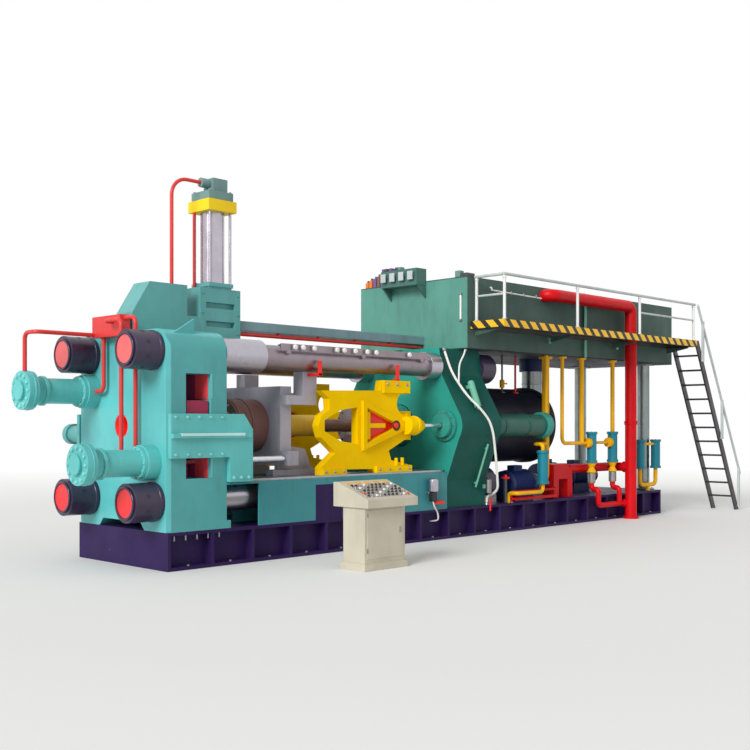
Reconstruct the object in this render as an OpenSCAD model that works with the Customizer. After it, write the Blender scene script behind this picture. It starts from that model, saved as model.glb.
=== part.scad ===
// Hydraulic aluminium extrusion press with overhead oil tank, walkway, ladder and console.
// The press axis runs along X, the operator stands on the -Y side and the floor is z = 0.
// The origin lies on the floor under the middle of the base frame. Sizes are millimetres.

/* [Base frame] */
// Length of the base frame along the press axis
base_l = 10700; // [10200:50:12000]
// Width of the base frame
base_w = 1900; // [1840:10:2100]
// Height of the base frame
base_h = 430; // [360:10:520]
// Thickness of the flanges and ribs of the base frame
base_plate = 40; // [20:5:60]
// Depth of the web behind the flange edges
base_recess = 120; // [60:10:200]
// Number of rib bays along each long side
base_bays = 18; // [8:1:24]

/* [Tie rods] */
// Height of the press axis above the floor
axis_z = 1615; // [1600:5:1650]
// Sideways distance from the press axis to a tie rod
tie_y = 680; // [660:5:700]
// Vertical distance from the press axis to a tie rod
tie_z = 850; // [835:5:865]
// Diameter of a tie rod where it passes the castings
tie_d = 200; // [150:10:240]
// Diameter of the sleeve on a tie rod between the castings
sleeve_d = 300; // [260:5:310]
// Free length between the front platen and the cylinder crosshead
daylight = 3910; // [3850:10:4200]
// Diameter of the collars on the upper tie rods
collar_d = 400; // [340:10:420]
// Length of the front collars on the upper tie rods
collar_l = 680; // [300:20:760]
// Length of the rear collars on the upper tie rods
rear_collar_l = 230; // [120:10:300]
// Diameter of the collars on the lower tie rods
lower_collar_d = 330; // [320:2:334]
// Length of the collars on the lower tie rods
lower_collar_l = 420; // [200:10:460]
// Diameter of the tie rod nuts
nut_d = 440; // [360:10:450]
// Length of the front tie rod nuts
nut_l = 370; // [250:10:420]
// Length of the rear tie rod nuts
rear_nut_l = 300; // [200:10:400]
// Diameter of the end discs on the front nuts
nut_cap_d = 320; // [240:10:340]
// Thickness of the end discs on the front nuts
nut_cap_t = 14; // [8:2:30]

/* [Front platen] */
// Thickness of the front platen along the press axis
platen_t = 810; // [760:10:900]
// Height of the front platen above the upper tie rods
platen_crown = 245; // [235:5:300]
// Radius of the upper corners of the front platen
platen_r = 240; // [120:10:260]
// Diameter of the exit hole for the extruded profile
exit_d = 280; // [200:10:320]
// Diameter of the rear opening that takes the die
die_opening_d = 520; // [470:10:560]
// Distance from the front face to the die window
window_x = 240; // [200:10:280]
// Width of the die window along the press axis
window_l = 340; // [320:10:380]
// Depth of the die window below the press axis
window_low = 595; // [560:5:610]
// Height of the die window above the press axis
window_high = 595; // [560:5:610]
// Height of the foot flange of the front platen
foot_h = 90; // [50:5:140]
// Reach of the foot flange beyond the rear face of the platen
foot_reach = 60; // [20:5:100]
// Half width of the arch between the feet of the platen
arch_half_w = 400; // [300:10:420]
// Thickness of the webs on the platen's shoulders
web_t = 40; // [20:5:60]
// Width of the broken front corners of the platen
edge_break = 40; // [10:5:60]

/* [Die slide] */
// Height of the die slide
die_slide_h = 580; // [540:10:600]
// Thickness of the die slide along the press axis
die_slide_t = 300; // [260:5:310]
// Diameter of the die stack
die_d = 440; // [380:10:460]
// Diameter of the opening through the die stack
die_bore = 140; // [80:10:200]
// Thickness of the guide plates on both flanks of the platen
guide_plate_t = 60; // [40:5:80]
// Height of the guide plates
guide_plate_h = 500; // [440:10:540]
// Length of the guide plates along the press axis
guide_plate_l = 1020; // [960:10:1100]
// Diameter of the die slide cylinder
die_cyl_d = 220; // [160:10:260]
// Length of the die slide cylinder
die_cyl_l = 820; // [600:20:900]
// Diameter of the rod of the die slide cylinder
die_cyl_rod_d = 100; // [60:10:120]

/* [Container cylinders] */
// Sideways distance from the press axis to a container cylinder
shift_y = 630; // [610:5:640]
// Vertical distance from the press axis to a container cylinder
shift_z = 410; // [400:2:414]
// Diameter of the flange on the platen
shift_flange_d = 400; // [340:5:410]
// Thickness of the flange on the platen
shift_flange_t = 160; // [100:10:200]
// Diameter of the barrel
shift_d = 300; // [240:10:320]
// Diameter of the bolted head
shift_head_d = 450; // [380:10:460]
// Length of the bolted head
shift_head_l = 165; // [140:5:200]
// Diameter of the boss on the cylinder heads
shift_boss_d = 220; // [150:10:260]
// Overall length in front of the platen
shift_l = 970; // [940:10:1050]
// Diameter of the container rods
shift_rod_d = 90; // [60:5:110]
// Thickness of the manifold on the platen's front
manifold_t = 140; // [100:10:160]
// Width of the manifold
manifold_w = 600; // [500:10:700]
// Sideways place of the manifold's middle
manifold_y = 110; // [60:10:140]
// Diameter of the pipes on the platen's front
front_pipe_d = 50; // [36:2:60]

/* [Container] */
// Outer diameter of the container
container_d = 680; // [620:10:700]
// Bore of the container
container_bore = 310; // [306:2:340]
// Outer diameter of the liner in the container
liner_d = 430; // [400:10:460]
// Length of the container
container_l = 680; // [620:10:700]
// Gap between platen and container in the open position
container_gap = 640; // [620:10:680]
// Travel of the container towards the die
container_travel = 550; // [400:10:580]
// Thickness of the container holder along the press axis
holder_t = 180; // [140:10:220]
// Half width of the container holder
holder_half_w = 560; // [520:10:580]
// Width of the feet of the holder
holder_foot_w = 140; // [100:10:160]

/* [Bed] */
// Height of the slide ways above the floor
way_z = 985; // [970:5:1000]
// Thickness of the slide ways
way_t = 30; // [20:5:40]
// Thickness of the plates of the bed
bed_plate = 24; // [16:2:26]
// Inner edge of the bed beams from the press axis
bed_inner = 430; // [400:10:440]
// Room between the lower tie rods and the bed's flanks
rod_room = 96; // [40:2:120]
// Distance from the platen to the side walls of the bed
bed_start = 480; // [440:10:560]
// Distance from the start of the side walls to the service hatch
hatch_offset = 910; // [800:10:1000]
// Length of the service hatch
hatch_l = 470; // [300:10:600]

/* [Moving crosshead] */
// Distance from the cylinder crosshead back to the middle of the moving crosshead
crosshead_back = 1620; // [1600:10:1660]
// Forward travel of the moving crosshead
forward_travel = 1250; // [800:10:1260]
// Backward travel of the moving crosshead
back_travel = 380; // [200:10:400]
// Inner face of the side frames from the press axis
side_inner = 735; // [725:5:745]
// Thickness of the side frames
side_t = 165; // [140:5:180]
// Thickness of the web plate of the side frames
side_plate_t = 120; // [90:5:130]
// Half height of the diamond in the side frames
diamond_h = 330; // [310:5:345]
// Thickness of the red webs in the side frames
red_web_t = 20; // [12:2:40]
// Height of the top blocks of the side frames above the press axis
head_w = 610; // [560:5:620]
// Diameter of the lugs that take the side rods
lug_d = 250; // [200:10:270]
// Diameter of the stem
stem_d = 180; // [140:10:200]
// Diameter of the dummy block
dummy_d = 290; // [260:2:294]
// Length of the dummy block
dummy_l = 640; // [400:10:660]
// Diameter of the stem plate
stem_plate_d = 600; // [480:10:620]
// Thickness of the stem plate
stem_plate_t = 90; // [60:5:100]
// Height of the beam that joins the side frames
beam_h = 400; // [300:10:440]
// Diameter of the hub behind the stem plate
hub_d = 640; // [600:10:660]
// Thickness of that beam along the press axis
beam_t = 330; // [300:10:340]
// Running clearance under the guide shoes
shoe_gap = 0.3; // [0.2:0.1:0.5]

/* [Cylinder crosshead] */
// Thickness of the cylinder crosshead along the press axis
cyl_t = 900; // [800:10:960]
// Width of the cylinder crosshead at its foot
cyl_foot_w = 1820; // [1760:10:1860]
// Width of the cylinder crosshead at its top
cyl_top_w = 1600; // [1580:10:1660]
// Radius of the wings that carry the side cylinders
wing_r = 310; // [270:5:330]
// Sideways distance from the press axis to a side cylinder
side_cyl_y = 920; // [910:5:930]
// Diameter of the main ram
ram_d = 620; // [500:10:660]
// Radial clearance of rams and rods in their cylinders
ram_gap = 6; // [5:0.5:10]
// Diameter of the main cylinder
main_cyl_d = 1200; // [1120:10:1240]
// Length of the main cylinder behind the cylinder crosshead
main_cyl_l = 2230; // [2100:10:2300]
// Diameter of the side cylinders
side_cyl_d = 340; // [280:10:350]
// Length of the side cylinders behind the cylinder crosshead
side_cyl_l = 1480; // [1400:10:1600]
// Diameter of the side rods
side_rod_d = 70; // [50:5:90]
// Length of the glands in front of the cylinder crosshead
gland_l = 110; // [80:5:115]
// Diameter of the prefill valve on the main cylinder
prefill_d = 340; // [300:10:350]
// Distance from the main cylinder's rear end to the middle of the prefill valve
prefill_gap = 195; // [190:5:260]
// Height of the prefill valve's lower shoulder
prefill_low = 2020; // [1980:10:2100]
// Diameter of the elbow into the main cylinder
elbow_d = 200; // [160:10:220]

/* [Shear] */
// Distance from the platen to the shear column
shear_x = 190; // [150:10:240]
// Length of the shear column along the press axis
shear_l = 620; // [600:10:700]
// Width of the shear column
shear_w = 340; // [300:10:400]
// Height of the shear column above the platen
shear_h = 610; // [560:10:660]
// Diameter of the shear cylinder
shear_cyl_d = 300; // [260:5:320]
// Length of the barrel of the shear cylinder
shear_cyl_l = 960; // [800:10:1000]
// Side of the square head of the shear cylinder
shear_head_w = 370; // [350:5:400]
// Side of the square clamp band of the shear cylinder
shear_band_w = 430; // [410:5:450]
// Height of the clamp band of the shear cylinder
shear_band_h = 140; // [120:5:160]
// Height of the valve block on the head of the shear cylinder
shear_block_h = 290; // [260:5:320]
// Distance from the shear cylinder's middle to the mouth of its elbow
shear_port_x = 185; // [170:5:200]

/* [Overhead beam] */
// Height of the underside of the overhead beam
beam_z = 2830; // [2800:5:2860]
// Depth of the overhead beam
top_beam_h = 120; // [80:10:160]
// Width of the overhead beam
top_beam_w = 240; // [160:10:300]

/* [Oil tank] */
// Height of the underside of the tank
tank_z = 2730; // [2722:2:2760]
// Distance from the cylinder crosshead's front to the tank
tank_setback = 440; // [400:10:480]
// Length of the tank
tank_l = 5940; // [5800:20:6200]
// Width of the tank
tank_w = 2190; // [2150:10:2300]
// Height of the tank
tank_h = 1060; // [1000:10:1150]
// Thickness of the tank plates
tank_t = 16; // [10:2:24]
// Diameter of the tank columns
column_d = 220; // [160:10:225]
// Sideways distance from the press axis to a tank column
column_y = 680; // [640:10:685]
// Distance of the columns from the rear end of the base
column_inset = 150; // [150:5:200]
// Width of the valve bank at the tank's end
bank_w = 740; // [600:10:800]
// Depth of the valve bank
bank_t = 220; // [160:10:260]
// Sideways place of the valve bank's middle
bank_y = 210; // [100:10:300]
// Diameter of the conduit down the cylinder crosshead
conduit_d = 36; // [26:2:44]

/* [Walkway and ladder] */
// Width of the walkway
walk_w = 610; // [560:10:700]
// Length of the walkway
walk_l = 5650; // [5600:10:5720]
// Height of the walkway surface
walk_z = 3135; // [3120:5:3180]
// Depth of the edge channel of the walkway
walk_edge = 115; // [80:5:140]
// Thickness of the walkway plate
walk_plate = 30; // [20:2:40]
// Height of the guard rail above the walkway
rail_h = 625; // [600:5:1100]
// Diameter of the guard rail tubes
rail_d = 45; // [34:1:50]
// Horizontal run of the ladder
ladder_run = 1650; // [1400:10:1800]
// Width of the ladder
ladder_w = 500; // [420:10:540]
// Thickness of the ladder stringers
stringer_t = 30; // [20:2:40]
// Number of ladder rungs
rung_count = 11; // [9:1:12]

/* [Pump sets] */
// Diameter of the pump motors
motor_d = 420; // [340:10:440]
// Length of the pump motors
motor_l = 600; // [500:10:640]
// Diameter of the pumps
pump_d = 260; // [200:10:280]
// Length of the pumps
pump_l = 300; // [240:10:320]
// Height of a shaft above the base frame
shaft_h = 270; // [260:5:290]
// Diameter of the return pipe
return_d = 200; // [150:10:220]
// Diameter of the header pipe
header_d = 150; // [120:10:160]
// Diameter of the upright check valves
valve_d = 165; // [140:5:190]
// Height of the upright check valves
valve_h = 520; // [450:10:600]
// Height of the lower end of the front check valves
valve_low = 980; // [960:10:1040]
// Distance of the check valves from the base's edge
valve_inset = 50; // [50:5:60]
// Distance of the check valve beside the first pump outside the base's edge
outer_valve_gap = 120; // [120:5:150]
// Distance from the tank's end to the first check valve
valve_1 = 3340; // [3300:10:3400]
// Distance from the tank's end to the second check valve
valve_2 = 3990; // [3920:10:4020]
// Distance from the tank's end to the third check valve
valve_3 = 4900; // [4800:10:4940]
// Distance from the tank's end to the fourth check valve
valve_4 = 5440; // [5420:10:5460]
// Distance from the tank's end to the check valve beside the first pump
valve_5 = 1710; // [1650:10:1760]
// Distance from the tank's end to the first pump set
first_pump_x = 1140; // [1100:10:1200]
// Distance from the tank's end to the rear pump sets
rear_pump_x = 3840; // [3700:10:3950]
// Spacing of the rear pump sets
rear_pump_pitch = 600; // [520:10:620]
// Distance from the tank's end to the thin suction pipe
suction_x = 2480; // [2440:10:2560]
// Room between a pipe and the main cylinder
pipe_room = 70; // [50:5:80]
// Distance from the tank's end to the filter unit
filter_x = 2340; // [2330:5:2360]
// Length of the filter unit
filter_l = 530; // [450:10:560]
// Width of the filter unit
filter_w = 230; // [180:10:240]
// Height of the filter unit
filter_h = 550; // [500:10:600]
// Distance of the header pipe from the base's edge
header_inset = 230; // [220:5:250]
// Height of the header pipe
header_z = 890; // [860:10:910]
// Distance from the tank's end to the return pipe's drop
return_x = 4240; // [4180:10:4300]
// Distance from the tank's end to the return pipe's start
return_start = 1890; // [1800:10:2000]
// Height of the return pipe's upper run
return_top = 3660; // [3600:10:3680]
// Diameter of the branches to the check valves
branch_d = 90; // [60:5:100]
// Height of the branch along the base's side
branch_z = 270; // [200:10:300]
// Diameter of the suction pipes
suction_d = 80; // [50:5:90]

/* [Console] */
// Width of the console's desk
console_w = 815; // [700:5:900]
// Width of the console's cabinet
cabinet_w = 650; // [560:10:700]
// Depth of the console cabinet
console_depth = 345; // [300:5:400]
// Overhang of the desk beyond the cabinet's front and rear
desk_overhang = 80; // [40:5:100]
// Overhang of the desk beyond the cabinet's left side
desk_left = 30; // [20:5:100]
// Overhang of the desk beyond the cabinet's rear
desk_rear = 130; // [60:5:160]
// Height of the desk's front edge
desk_edge = 95; // [60:5:120]
// Distance from the platen to the desk
console_x = 710; // [500:10:900]
// Height of the cabinet's plinth
plinth_h = 80; // [50:5:120]
// Height of the console at its front edge
console_front_h = 800; // [700:10:900]
// Height of the console at its rear edge
console_rear_h = 980; // [950:10:1100]
// Distance from the base frame to the console
console_gap = 1180; // [900:10:1300]

/* [Hidden] */
$fn = 64;
fit = 0.3;
front_x = -base_l/2;
bed_outer = tie_y + sleeve_d/2 + rod_room + bed_plate;
platen_rear = front_x + platen_t;
platen_top = axis_z + tie_z + platen_crown;
cyl_front = platen_rear + daylight;
cyl_rear = cyl_front + cyl_t;
tank_x = cyl_front + tank_setback;
prefill_x = cyl_rear + main_cyl_l + prefill_gap;
tank_y = -base_w/2;
tank_top = tank_z + tank_h;
walk_x = tank_x + 90;
walk_end = walk_x + walk_l;
container_front = platen_rear + container_gap;
container_rear = container_front + container_l;
crosshead_x = cyl_front - crosshead_back;
shoe_z = way_z + shoe_gap;
beam_front = crosshead_x + 735;
beam_rear = beam_front + beam_t;
shear_front = platen_rear + shear_x;
shear_mid = shear_front + shear_l/2;
shear_top = platen_top + shear_h;
shear_port_z = shear_top + shear_cyl_l + shear_band_h + shear_block_h - 65;
window_mid = front_x + window_x + window_l/2;
header_y = -base_w/2 + header_inset;
valve_y = -base_w/2 + valve_inset;
outer_valve_y = -base_w/2 - outer_valve_gap;
return_y = tank_y - return_d/2 - 60;
branch_y = -base_w/2 - branch_d/2 - 40;
shaft_z = base_h + shaft_h;
first_pump_y = main_cyl_d/2 + 0.75*suction_d + pipe_room;

module rod_x(x1, x2, d) {
    translate([x1, 0, 0])
        rotate([0, 90, 0])
            cylinder(d = d, h = x2 - x1);
}

module rod_y(y1, y2, d) {
    translate([0, y1, 0])
        rotate([-90, 0, 0])
            cylinder(d = d, h = y2 - y1);
}

module ring_x(x1, x2, od, id) {
    difference() {
        rod_x(x1, x2, od);
        rod_x(x1 - 1, x2 + 1, id);
    }
}

// Extrudes a section drawn in the Y-Z plane along the press axis
module prism_x(x1, x2) {
    translate([x1, 0, 0])
        rotate([90, 0, 90])
            linear_extrude(x2 - x1)
                children();
}

// Extrudes an outline drawn in the X-Z plane across the press
module prism_y(y1, y2) {
    translate([0, y2, 0])
        rotate([90, 0, 0])
            linear_extrude(y2 - y1)
                children();
}

module box(p1, p2) {
    translate(p1)
        cube(p2 - p1);
}

// The same piece on both sides of the press axis
module both_sides() {
    children();
    mirror([0, 1, 0])
        children();
}

// Places children at all four tie rods
module at_tie_rods() {
    for (side = [-1, 1], level = [-1, 1])
        translate([0, side*tie_y, axis_z + level*tie_z])
            children();
}

module at_upper_tie_rods() {
    for (side = [-1, 1])
        translate([0, side*tie_y, axis_z + tie_z])
            children();
}

module at_lower_tie_rods() {
    for (side = [-1, 1])
        translate([0, side*tie_y, axis_z - tie_z])
            children();
}

// Places children at the lower near and the upper far container cylinder
module at_shift_cylinders() {
    for (side = [-1, 1])
        translate([0, side*shift_y, axis_z + side*shift_z])
            children();
}

module at_side_cylinders() {
    for (side = [-1, 1])
        translate([0, side*side_cyl_y, axis_z])
            children();
}

// Quarter bend at a corner, from the direction a into the direction b
module bend(corner, a, b, r, d) {
    c = cross(-b, a);
    m = corner + r*(b - a);
    multmatrix([[-b[0], a[0], c[0], m[0]], [-b[1], a[1], c[1], m[1]], [-b[2], a[2], c[2], m[2]]])
        rotate_extrude(angle = 90)
            translate([r, 0])
                circle(d = d);
}

// Round pipe along a path of axis-parallel legs, with a bend at each corner
module pipe(path, d, r) {
    last = len(path) - 1;
    for (i = [0:last - 1]) {
        leg = path[i + 1] - path[i];
        along = leg/norm(leg);
        start = path[i] + (i > 0 ? r : 0)*along;
        length = norm(leg) - (i > 0 ? r : 0) - (i < last - 1 ? r : 0);
        translate(start)
            rotate([0, acos(along[2]), atan2(along[1], along[0])])
                cylinder(d = d, h = length);
        if (i < last - 1) {
            next = path[i + 2] - path[i + 1];
            bend(path[i + 1], along, next/norm(next), r, d);
        }
    }
}

module base_frame() {
    pitch = (base_l - base_plate)/base_bays;
    color([0.12, 0.10, 0.20]) {
        box([front_x + base_recess, -base_w/2 + base_recess, 0],
            [-front_x - base_recess, base_w/2 - base_recess, base_h]);
        box([front_x, -base_w/2, 0], [-front_x, base_w/2, base_plate]);
        box([front_x, -base_w/2, base_h - base_plate], [-front_x, base_w/2, base_h]);
        for (i = [0:base_bays])
            box([front_x + i*pitch, -base_w/2, base_plate/2],
                [front_x + i*pitch + base_plate, base_w/2, base_h - base_plate/2]);
    }
}

// Opening in the bed's flank that a service panel closes
module bed_hatch(y1, y2) {
    hatch_x = platen_rear + bed_start + hatch_offset;
    box([hatch_x, y1, base_h], [hatch_x + hatch_l, y2, way_z - way_t - 80]);
}

module service_panels() {
    color([0.12, 0.10, 0.20])
        for (side = [-1, 1])
            bed_hatch(min(side*bed_outer, side*(bed_outer - bed_plate)),
                max(side*bed_outer, side*(bed_outer - bed_plate)));
}

module bed_beam(side) {
    top_z = way_z - way_t;
    inner_y = side > 0 ? bed_inner : -bed_outer;
    outer_y = side > 0 ? bed_outer : -bed_inner;
    difference() {
        union() {
            box([platen_rear, inner_y, top_z - bed_plate], [cyl_front, outer_y, top_z]);
            box([platen_rear + bed_start, inner_y, base_h], [cyl_front, outer_y, top_z]);
        }
        box([platen_rear - 1, inner_y + bed_plate, base_h - 1],
            [cyl_front + 1, outer_y - bed_plate, top_z - bed_plate]);
        if (side > 0)
            bed_hatch(bed_outer - bed_plate - 1, bed_outer + 1);
        else
            bed_hatch(-bed_outer - 1, -bed_outer + bed_plate + 1);
    }
}

module machine_bed() {
    color([0.10, 0.45, 0.40]) {
        bed_beam(-1);
        bed_beam(1);
    }
}

module slide_ways() {
    color([0.55, 0.56, 0.58])
        for (side = [-1, 1]) {
            outer = side*(side_inner + side_t + 10);
            inner = side*(bed_inner + 10);
            box([platen_rear, min(outer, inner), way_z - way_t], [cyl_front, max(outer, inner), way_z]);
        }
}

module platen_outline() {
    half_w = base_w/2;
    translate([-half_w, base_h])
        square([base_w, platen_top - platen_r - base_h]);
    translate([-half_w + platen_r, base_h])
        square([base_w - 2*platen_r, platen_top - base_h]);
    for (side = [-1, 1])
        translate([side*(half_w - platen_r), platen_top - platen_r])
            circle(r = platen_r);
}

// Plan of the platen with its front corners broken
module chamfered_plan() {
    half_w = base_w/2;
    polygon([[front_x + edge_break, -half_w], [platen_rear, -half_w], [platen_rear, half_w],
        [front_x + edge_break, half_w], [front_x, half_w - edge_break], [front_x, -half_w + edge_break]]);
}

module front_platen() {
    color([0.35, 0.72, 0.68])
        difference() {
            union() {
                intersection() {
                    prism_x(front_x, platen_rear)
                        platen_outline();
                    linear_extrude(2*platen_top)
                        chamfered_plan();
                }
                box([platen_rear, -base_w/2, base_h], [platen_rear + foot_reach, base_w/2, base_h + foot_h]);
                for (side = [-1, 1])
                    translate([0, side*(base_w/2 - platen_r/2), 0])
                        prism_y(-web_t/2, web_t/2)
                            polygon([[front_x + 20, platen_top - 120], [front_x + 430, platen_top - 120],
                                [front_x + 430, platen_top + 130]]);
            }
            prism_x(front_x - 1, platen_rear + foot_reach + 1)
                polygon([[-arch_half_w - 80, base_h - 1], [arch_half_w + 80, base_h - 1],
                    [arch_half_w, base_h + foot_h], [-arch_half_w, base_h + foot_h]]);
            at_tie_rods()
                rod_x(front_x - 1, platen_rear + foot_reach + 1, tie_d + 2*fit);
            at_shift_cylinders()
                rod_x(front_x - 1, platen_rear + 1, shift_rod_d + 2*ram_gap);
            translate([0, 0, axis_z]) {
                rod_x(front_x - 1, window_mid, exit_d);
                rod_x(window_mid, platen_rear + 1, die_opening_d);
            }
            box([front_x + window_x, -base_w, axis_z - window_low],
                [front_x + window_x + window_l, base_w, axis_z + window_high]);
        }
}

module die_slide() {
    color([0.25, 0.25, 0.27])
        difference() {
            box([window_mid - die_slide_t/2, -base_w/2 + 20, axis_z - die_slide_h/2],
                [window_mid + die_slide_t/2, base_w/2 - 20, axis_z + die_slide_h/2]);
            translate([0, 0, axis_z])
                rod_x(front_x, platen_rear, die_bore);
        }
}

module die_slide_seat() {
    color([0.75, 0.12, 0.10])
        box([window_mid - die_slide_t/2, -shift_y + shift_rod_d, axis_z - window_low],
            [window_mid + die_slide_t/2, base_w/2 - 20, axis_z - die_slide_h/2]);
}

module die_stack() {
    color([0.32, 0.32, 0.34])
        translate([0, 0, axis_z])
            ring_x(window_mid + die_slide_t/2, platen_rear - 10, die_d, die_bore);
}

module guide_plate_outline() {
    low = axis_z - guide_plate_h/2 - 110;
    top = low + guide_plate_h;
    polygon([[front_x, low], [platen_rear, low], [platen_rear, low - 290], [platen_rear + 340, low - 290],
        [platen_rear + 340, top - 180], [front_x + guide_plate_l, top], [front_x, top]]);
}

module die_guide_plates() {
    rib_z = axis_z - 110;
    color([0.30, 0.62, 0.58])
        for (side = [-1, 1]) {
            inner = side*base_w/2;
            outer = side*(base_w/2 + guide_plate_t);
            crest = side*(base_w/2 + 1.7*guide_plate_t);
            difference() {
                union() {
                    prism_y(min(inner, outer), max(inner, outer))
                        guide_plate_outline();
                    box([front_x, min(inner, crest), rib_z - 25],
                        [platen_rear + 300, max(inner, crest), rib_z + 25]);
                }
                if (side > 0)
                    translate([window_mid, 0, rib_z])
                        rod_y(0, base_w, die_cyl_rod_d + 2*ram_gap);
            }
        }
}

module die_slide_cylinder() {
    seat = base_w/2 + 1.7*guide_plate_t;
    color([0.30, 0.62, 0.58])
        translate([window_mid, 0, axis_z - 110]) {
            rod_y(base_w/2 - 20, seat, die_cyl_rod_d);
            rod_y(seat, seat + 70, die_cyl_d + 120);
            rod_y(seat, seat + die_cyl_l, die_cyl_d);
            rod_y(seat + die_cyl_l - 90, seat + die_cyl_l, die_cyl_d + 50);
        }
}

module tie_rods() {
    color([0.55, 0.56, 0.58])
        at_tie_rods() {
            rod_x(front_x - nut_l, cyl_rear + rear_nut_l, tie_d);
            rod_x(platen_rear + foot_reach + 1, cyl_front, sleeve_d);
        }
}

module tie_rod_collars() {
    collar_start = platen_rear + foot_reach + 1;
    color([0.75, 0.76, 0.78]) {
        at_upper_tie_rods() {
            ring_x(collar_start, platen_rear + collar_l, collar_d, sleeve_d + 2*fit);
            ring_x(cyl_front - rear_collar_l, cyl_front, collar_d, sleeve_d + 2*fit);
        }
        at_lower_tie_rods()
            ring_x(collar_start, platen_rear + lower_collar_l, lower_collar_d, sleeve_d + 2*fit);
    }
}

module tie_rod_nuts() {
    color([0.10, 0.09, 0.12])
        at_tie_rods() {
            ring_x(front_x - nut_l, front_x, nut_d, tie_d + 2*fit);
            ring_x(cyl_rear, cyl_rear + rear_nut_l, nut_d, tie_d + 2*fit);
        }
}

module nut_discs() {
    color([0.80, 0.20, 0.25])
        at_tie_rods()
            rod_x(front_x - nut_l - nut_cap_t, front_x - nut_l, nut_cap_d);
}

module container_cylinders() {
    head_x = front_x - shift_l;
    boss_x = front_x - shift_flange_t;
    color([0.35, 0.72, 0.68])
        at_shift_cylinders()
            difference() {
                union() {
                    rod_x(boss_x, front_x, shift_flange_d);
                    rod_x(boss_x - 50, boss_x, shift_flange_d - 30);
                    rod_x(head_x + 40, front_x, shift_d);
                    rod_x(head_x, head_x + 40, shift_boss_d);
                    rod_x(head_x + 40, head_x + shift_head_l, shift_head_d);
                }
                rod_x(head_x + 100, front_x + 1, shift_rod_d + 2*ram_gap);
            }
}

module front_manifold() {
    color([0.80, 0.14, 0.12])
        box([front_x - manifold_t, -manifold_w/2 + manifold_y, platen_top - 55],
            [front_x, manifold_w/2 + manifold_y, platen_top + 190]);
}

module front_pipes() {
    r = 80;
    x = front_x - manifold_t/2;
    loop_x = front_x - manifold_t - 115;
    end_z = axis_z - shift_z + 60;
    bottom = platen_top - 55;
    head_x = front_x - shift_l + 90;
    drop_y = tie_y - nut_d/2 - front_pipe_d/2 - 25;
    difference() {
        union() {
            pipe([[front_x - manifold_t, 380, platen_top - 20], [head_x, 380, platen_top - 20],
                [head_x, shift_y, platen_top - 20], [head_x, shift_y, axis_z + shift_z]], front_pipe_d, r);
            pipe([[x, 270, bottom], [x, 270, axis_z + shift_z], [x, shift_y, axis_z + shift_z]], front_pipe_d, r);
            pipe([[x, manifold_y - manifold_w/2, platen_top + 150], [x, -drop_y, platen_top + 150],
                [x, -drop_y, end_z], [x, -shift_y, end_z]], front_pipe_d, r);
            pipe([[front_x - manifold_t, -50, platen_top + 110], [loop_x, -50, platen_top + 110],
                [loop_x, -drop_y, platen_top + 110], [loop_x, -drop_y, end_z], [loop_x, -shift_y, end_z]],
                front_pipe_d, r);
        }
        at_shift_cylinders() {
            rod_x(front_x - shift_flange_t - 1, front_x, shift_flange_d + 2*fit);
            rod_x(front_x - shift_flange_t - 51, front_x, shift_flange_d - 30 + 2*fit);
            rod_x(front_x - shift_l, front_x, shift_d + 2*fit);
            rod_x(front_x - shift_l + 40, front_x - shift_l + shift_head_l + 1, shift_head_d + 2*fit);
        }
        front_manifold_room();
    }
}

// Space of the manifold, which the pipes start from
module front_manifold_room() {
    box([front_x - manifold_t, -manifold_w/2 + manifold_y, platen_top - 55],
        [front_x, manifold_w/2 + manifold_y, platen_top + 190]);
}

module shear_bracket() {
    color([0.30, 0.62, 0.58])
        prism_y(-shear_w/2, shear_w/2)
            polygon([[front_x + 40, platen_top], [platen_rear, platen_top], [platen_rear, shear_top],
                [front_x + 280, shear_top], [front_x + 40, platen_top + 230]]);
}

module shear_column() {
    color([0.28, 0.58, 0.54])
        difference() {
            prism_y(-shear_w/2, shear_w/2)
                polygon([[platen_rear, platen_top - 110], [shear_front + shear_l, platen_top - 110],
                    [shear_front + shear_l, shear_top], [shear_front, shear_top],
                    [shear_front, platen_top + 240], [platen_rear, platen_top + 240]]);
            for (i = [0:1])
                box([shear_front + 90, -shear_w, platen_top + 130 + i*230],
                    [shear_front + shear_l - 90, -shear_w/2 + 60, platen_top + 200 + i*230]);
        }
}

module shear_cylinder() {
    rod_offset = shear_head_w/2 - 28;
    color([0.78, 0.79, 0.80])
        translate([shear_mid, 0, shear_top]) {
            cylinder(d = shear_cyl_d, h = shear_cyl_l);
            translate([-shear_w/2, -shear_w/2, 0])
                cube([shear_w, shear_w, 50]);
            for (i = [-1, 1], j = [-1, 1])
                translate([i*rod_offset, j*rod_offset, 30])
                    cylinder(d = 36, h = shear_cyl_l - 30);
            translate([-shear_head_w/2, -shear_head_w/2, 20])
                cube([shear_head_w, shear_head_w, 50]);
        }
}

module shear_band() {
    color([0.93, 0.70, 0.10])
        translate([shear_mid - shear_band_w/2, -shear_band_w/2, shear_top + shear_cyl_l])
            cube([shear_band_w, shear_band_w, shear_band_h]);
}

module shear_head() {
    z = shear_top + shear_cyl_l + shear_band_h;
    color([0.12, 0.42, 0.32]) {
        translate([shear_mid - shear_head_w/2, -shear_head_w/2, z])
            cube([shear_head_w, shear_head_w, 110]);
        box([shear_mid - 60, -100, z], [shear_mid + 160, 100, z + shear_block_h]);
        translate([0, 0, shear_port_z])
            rod_x(shear_mid - shear_port_x, shear_mid, 120);
    }
}

module shear_pipes() {
    bracket_x = platen_rear - 110;
    pipe([[shear_mid - shear_port_x, 0, shear_port_z], [bracket_x, 0, shear_port_z], [bracket_x, 0, shear_top]], 46, 220);
    translate([shear_mid - shear_head_w/2 - 22, 100, shear_top])
        cylinder(d = 36, h = shear_cyl_l);
}

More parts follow.
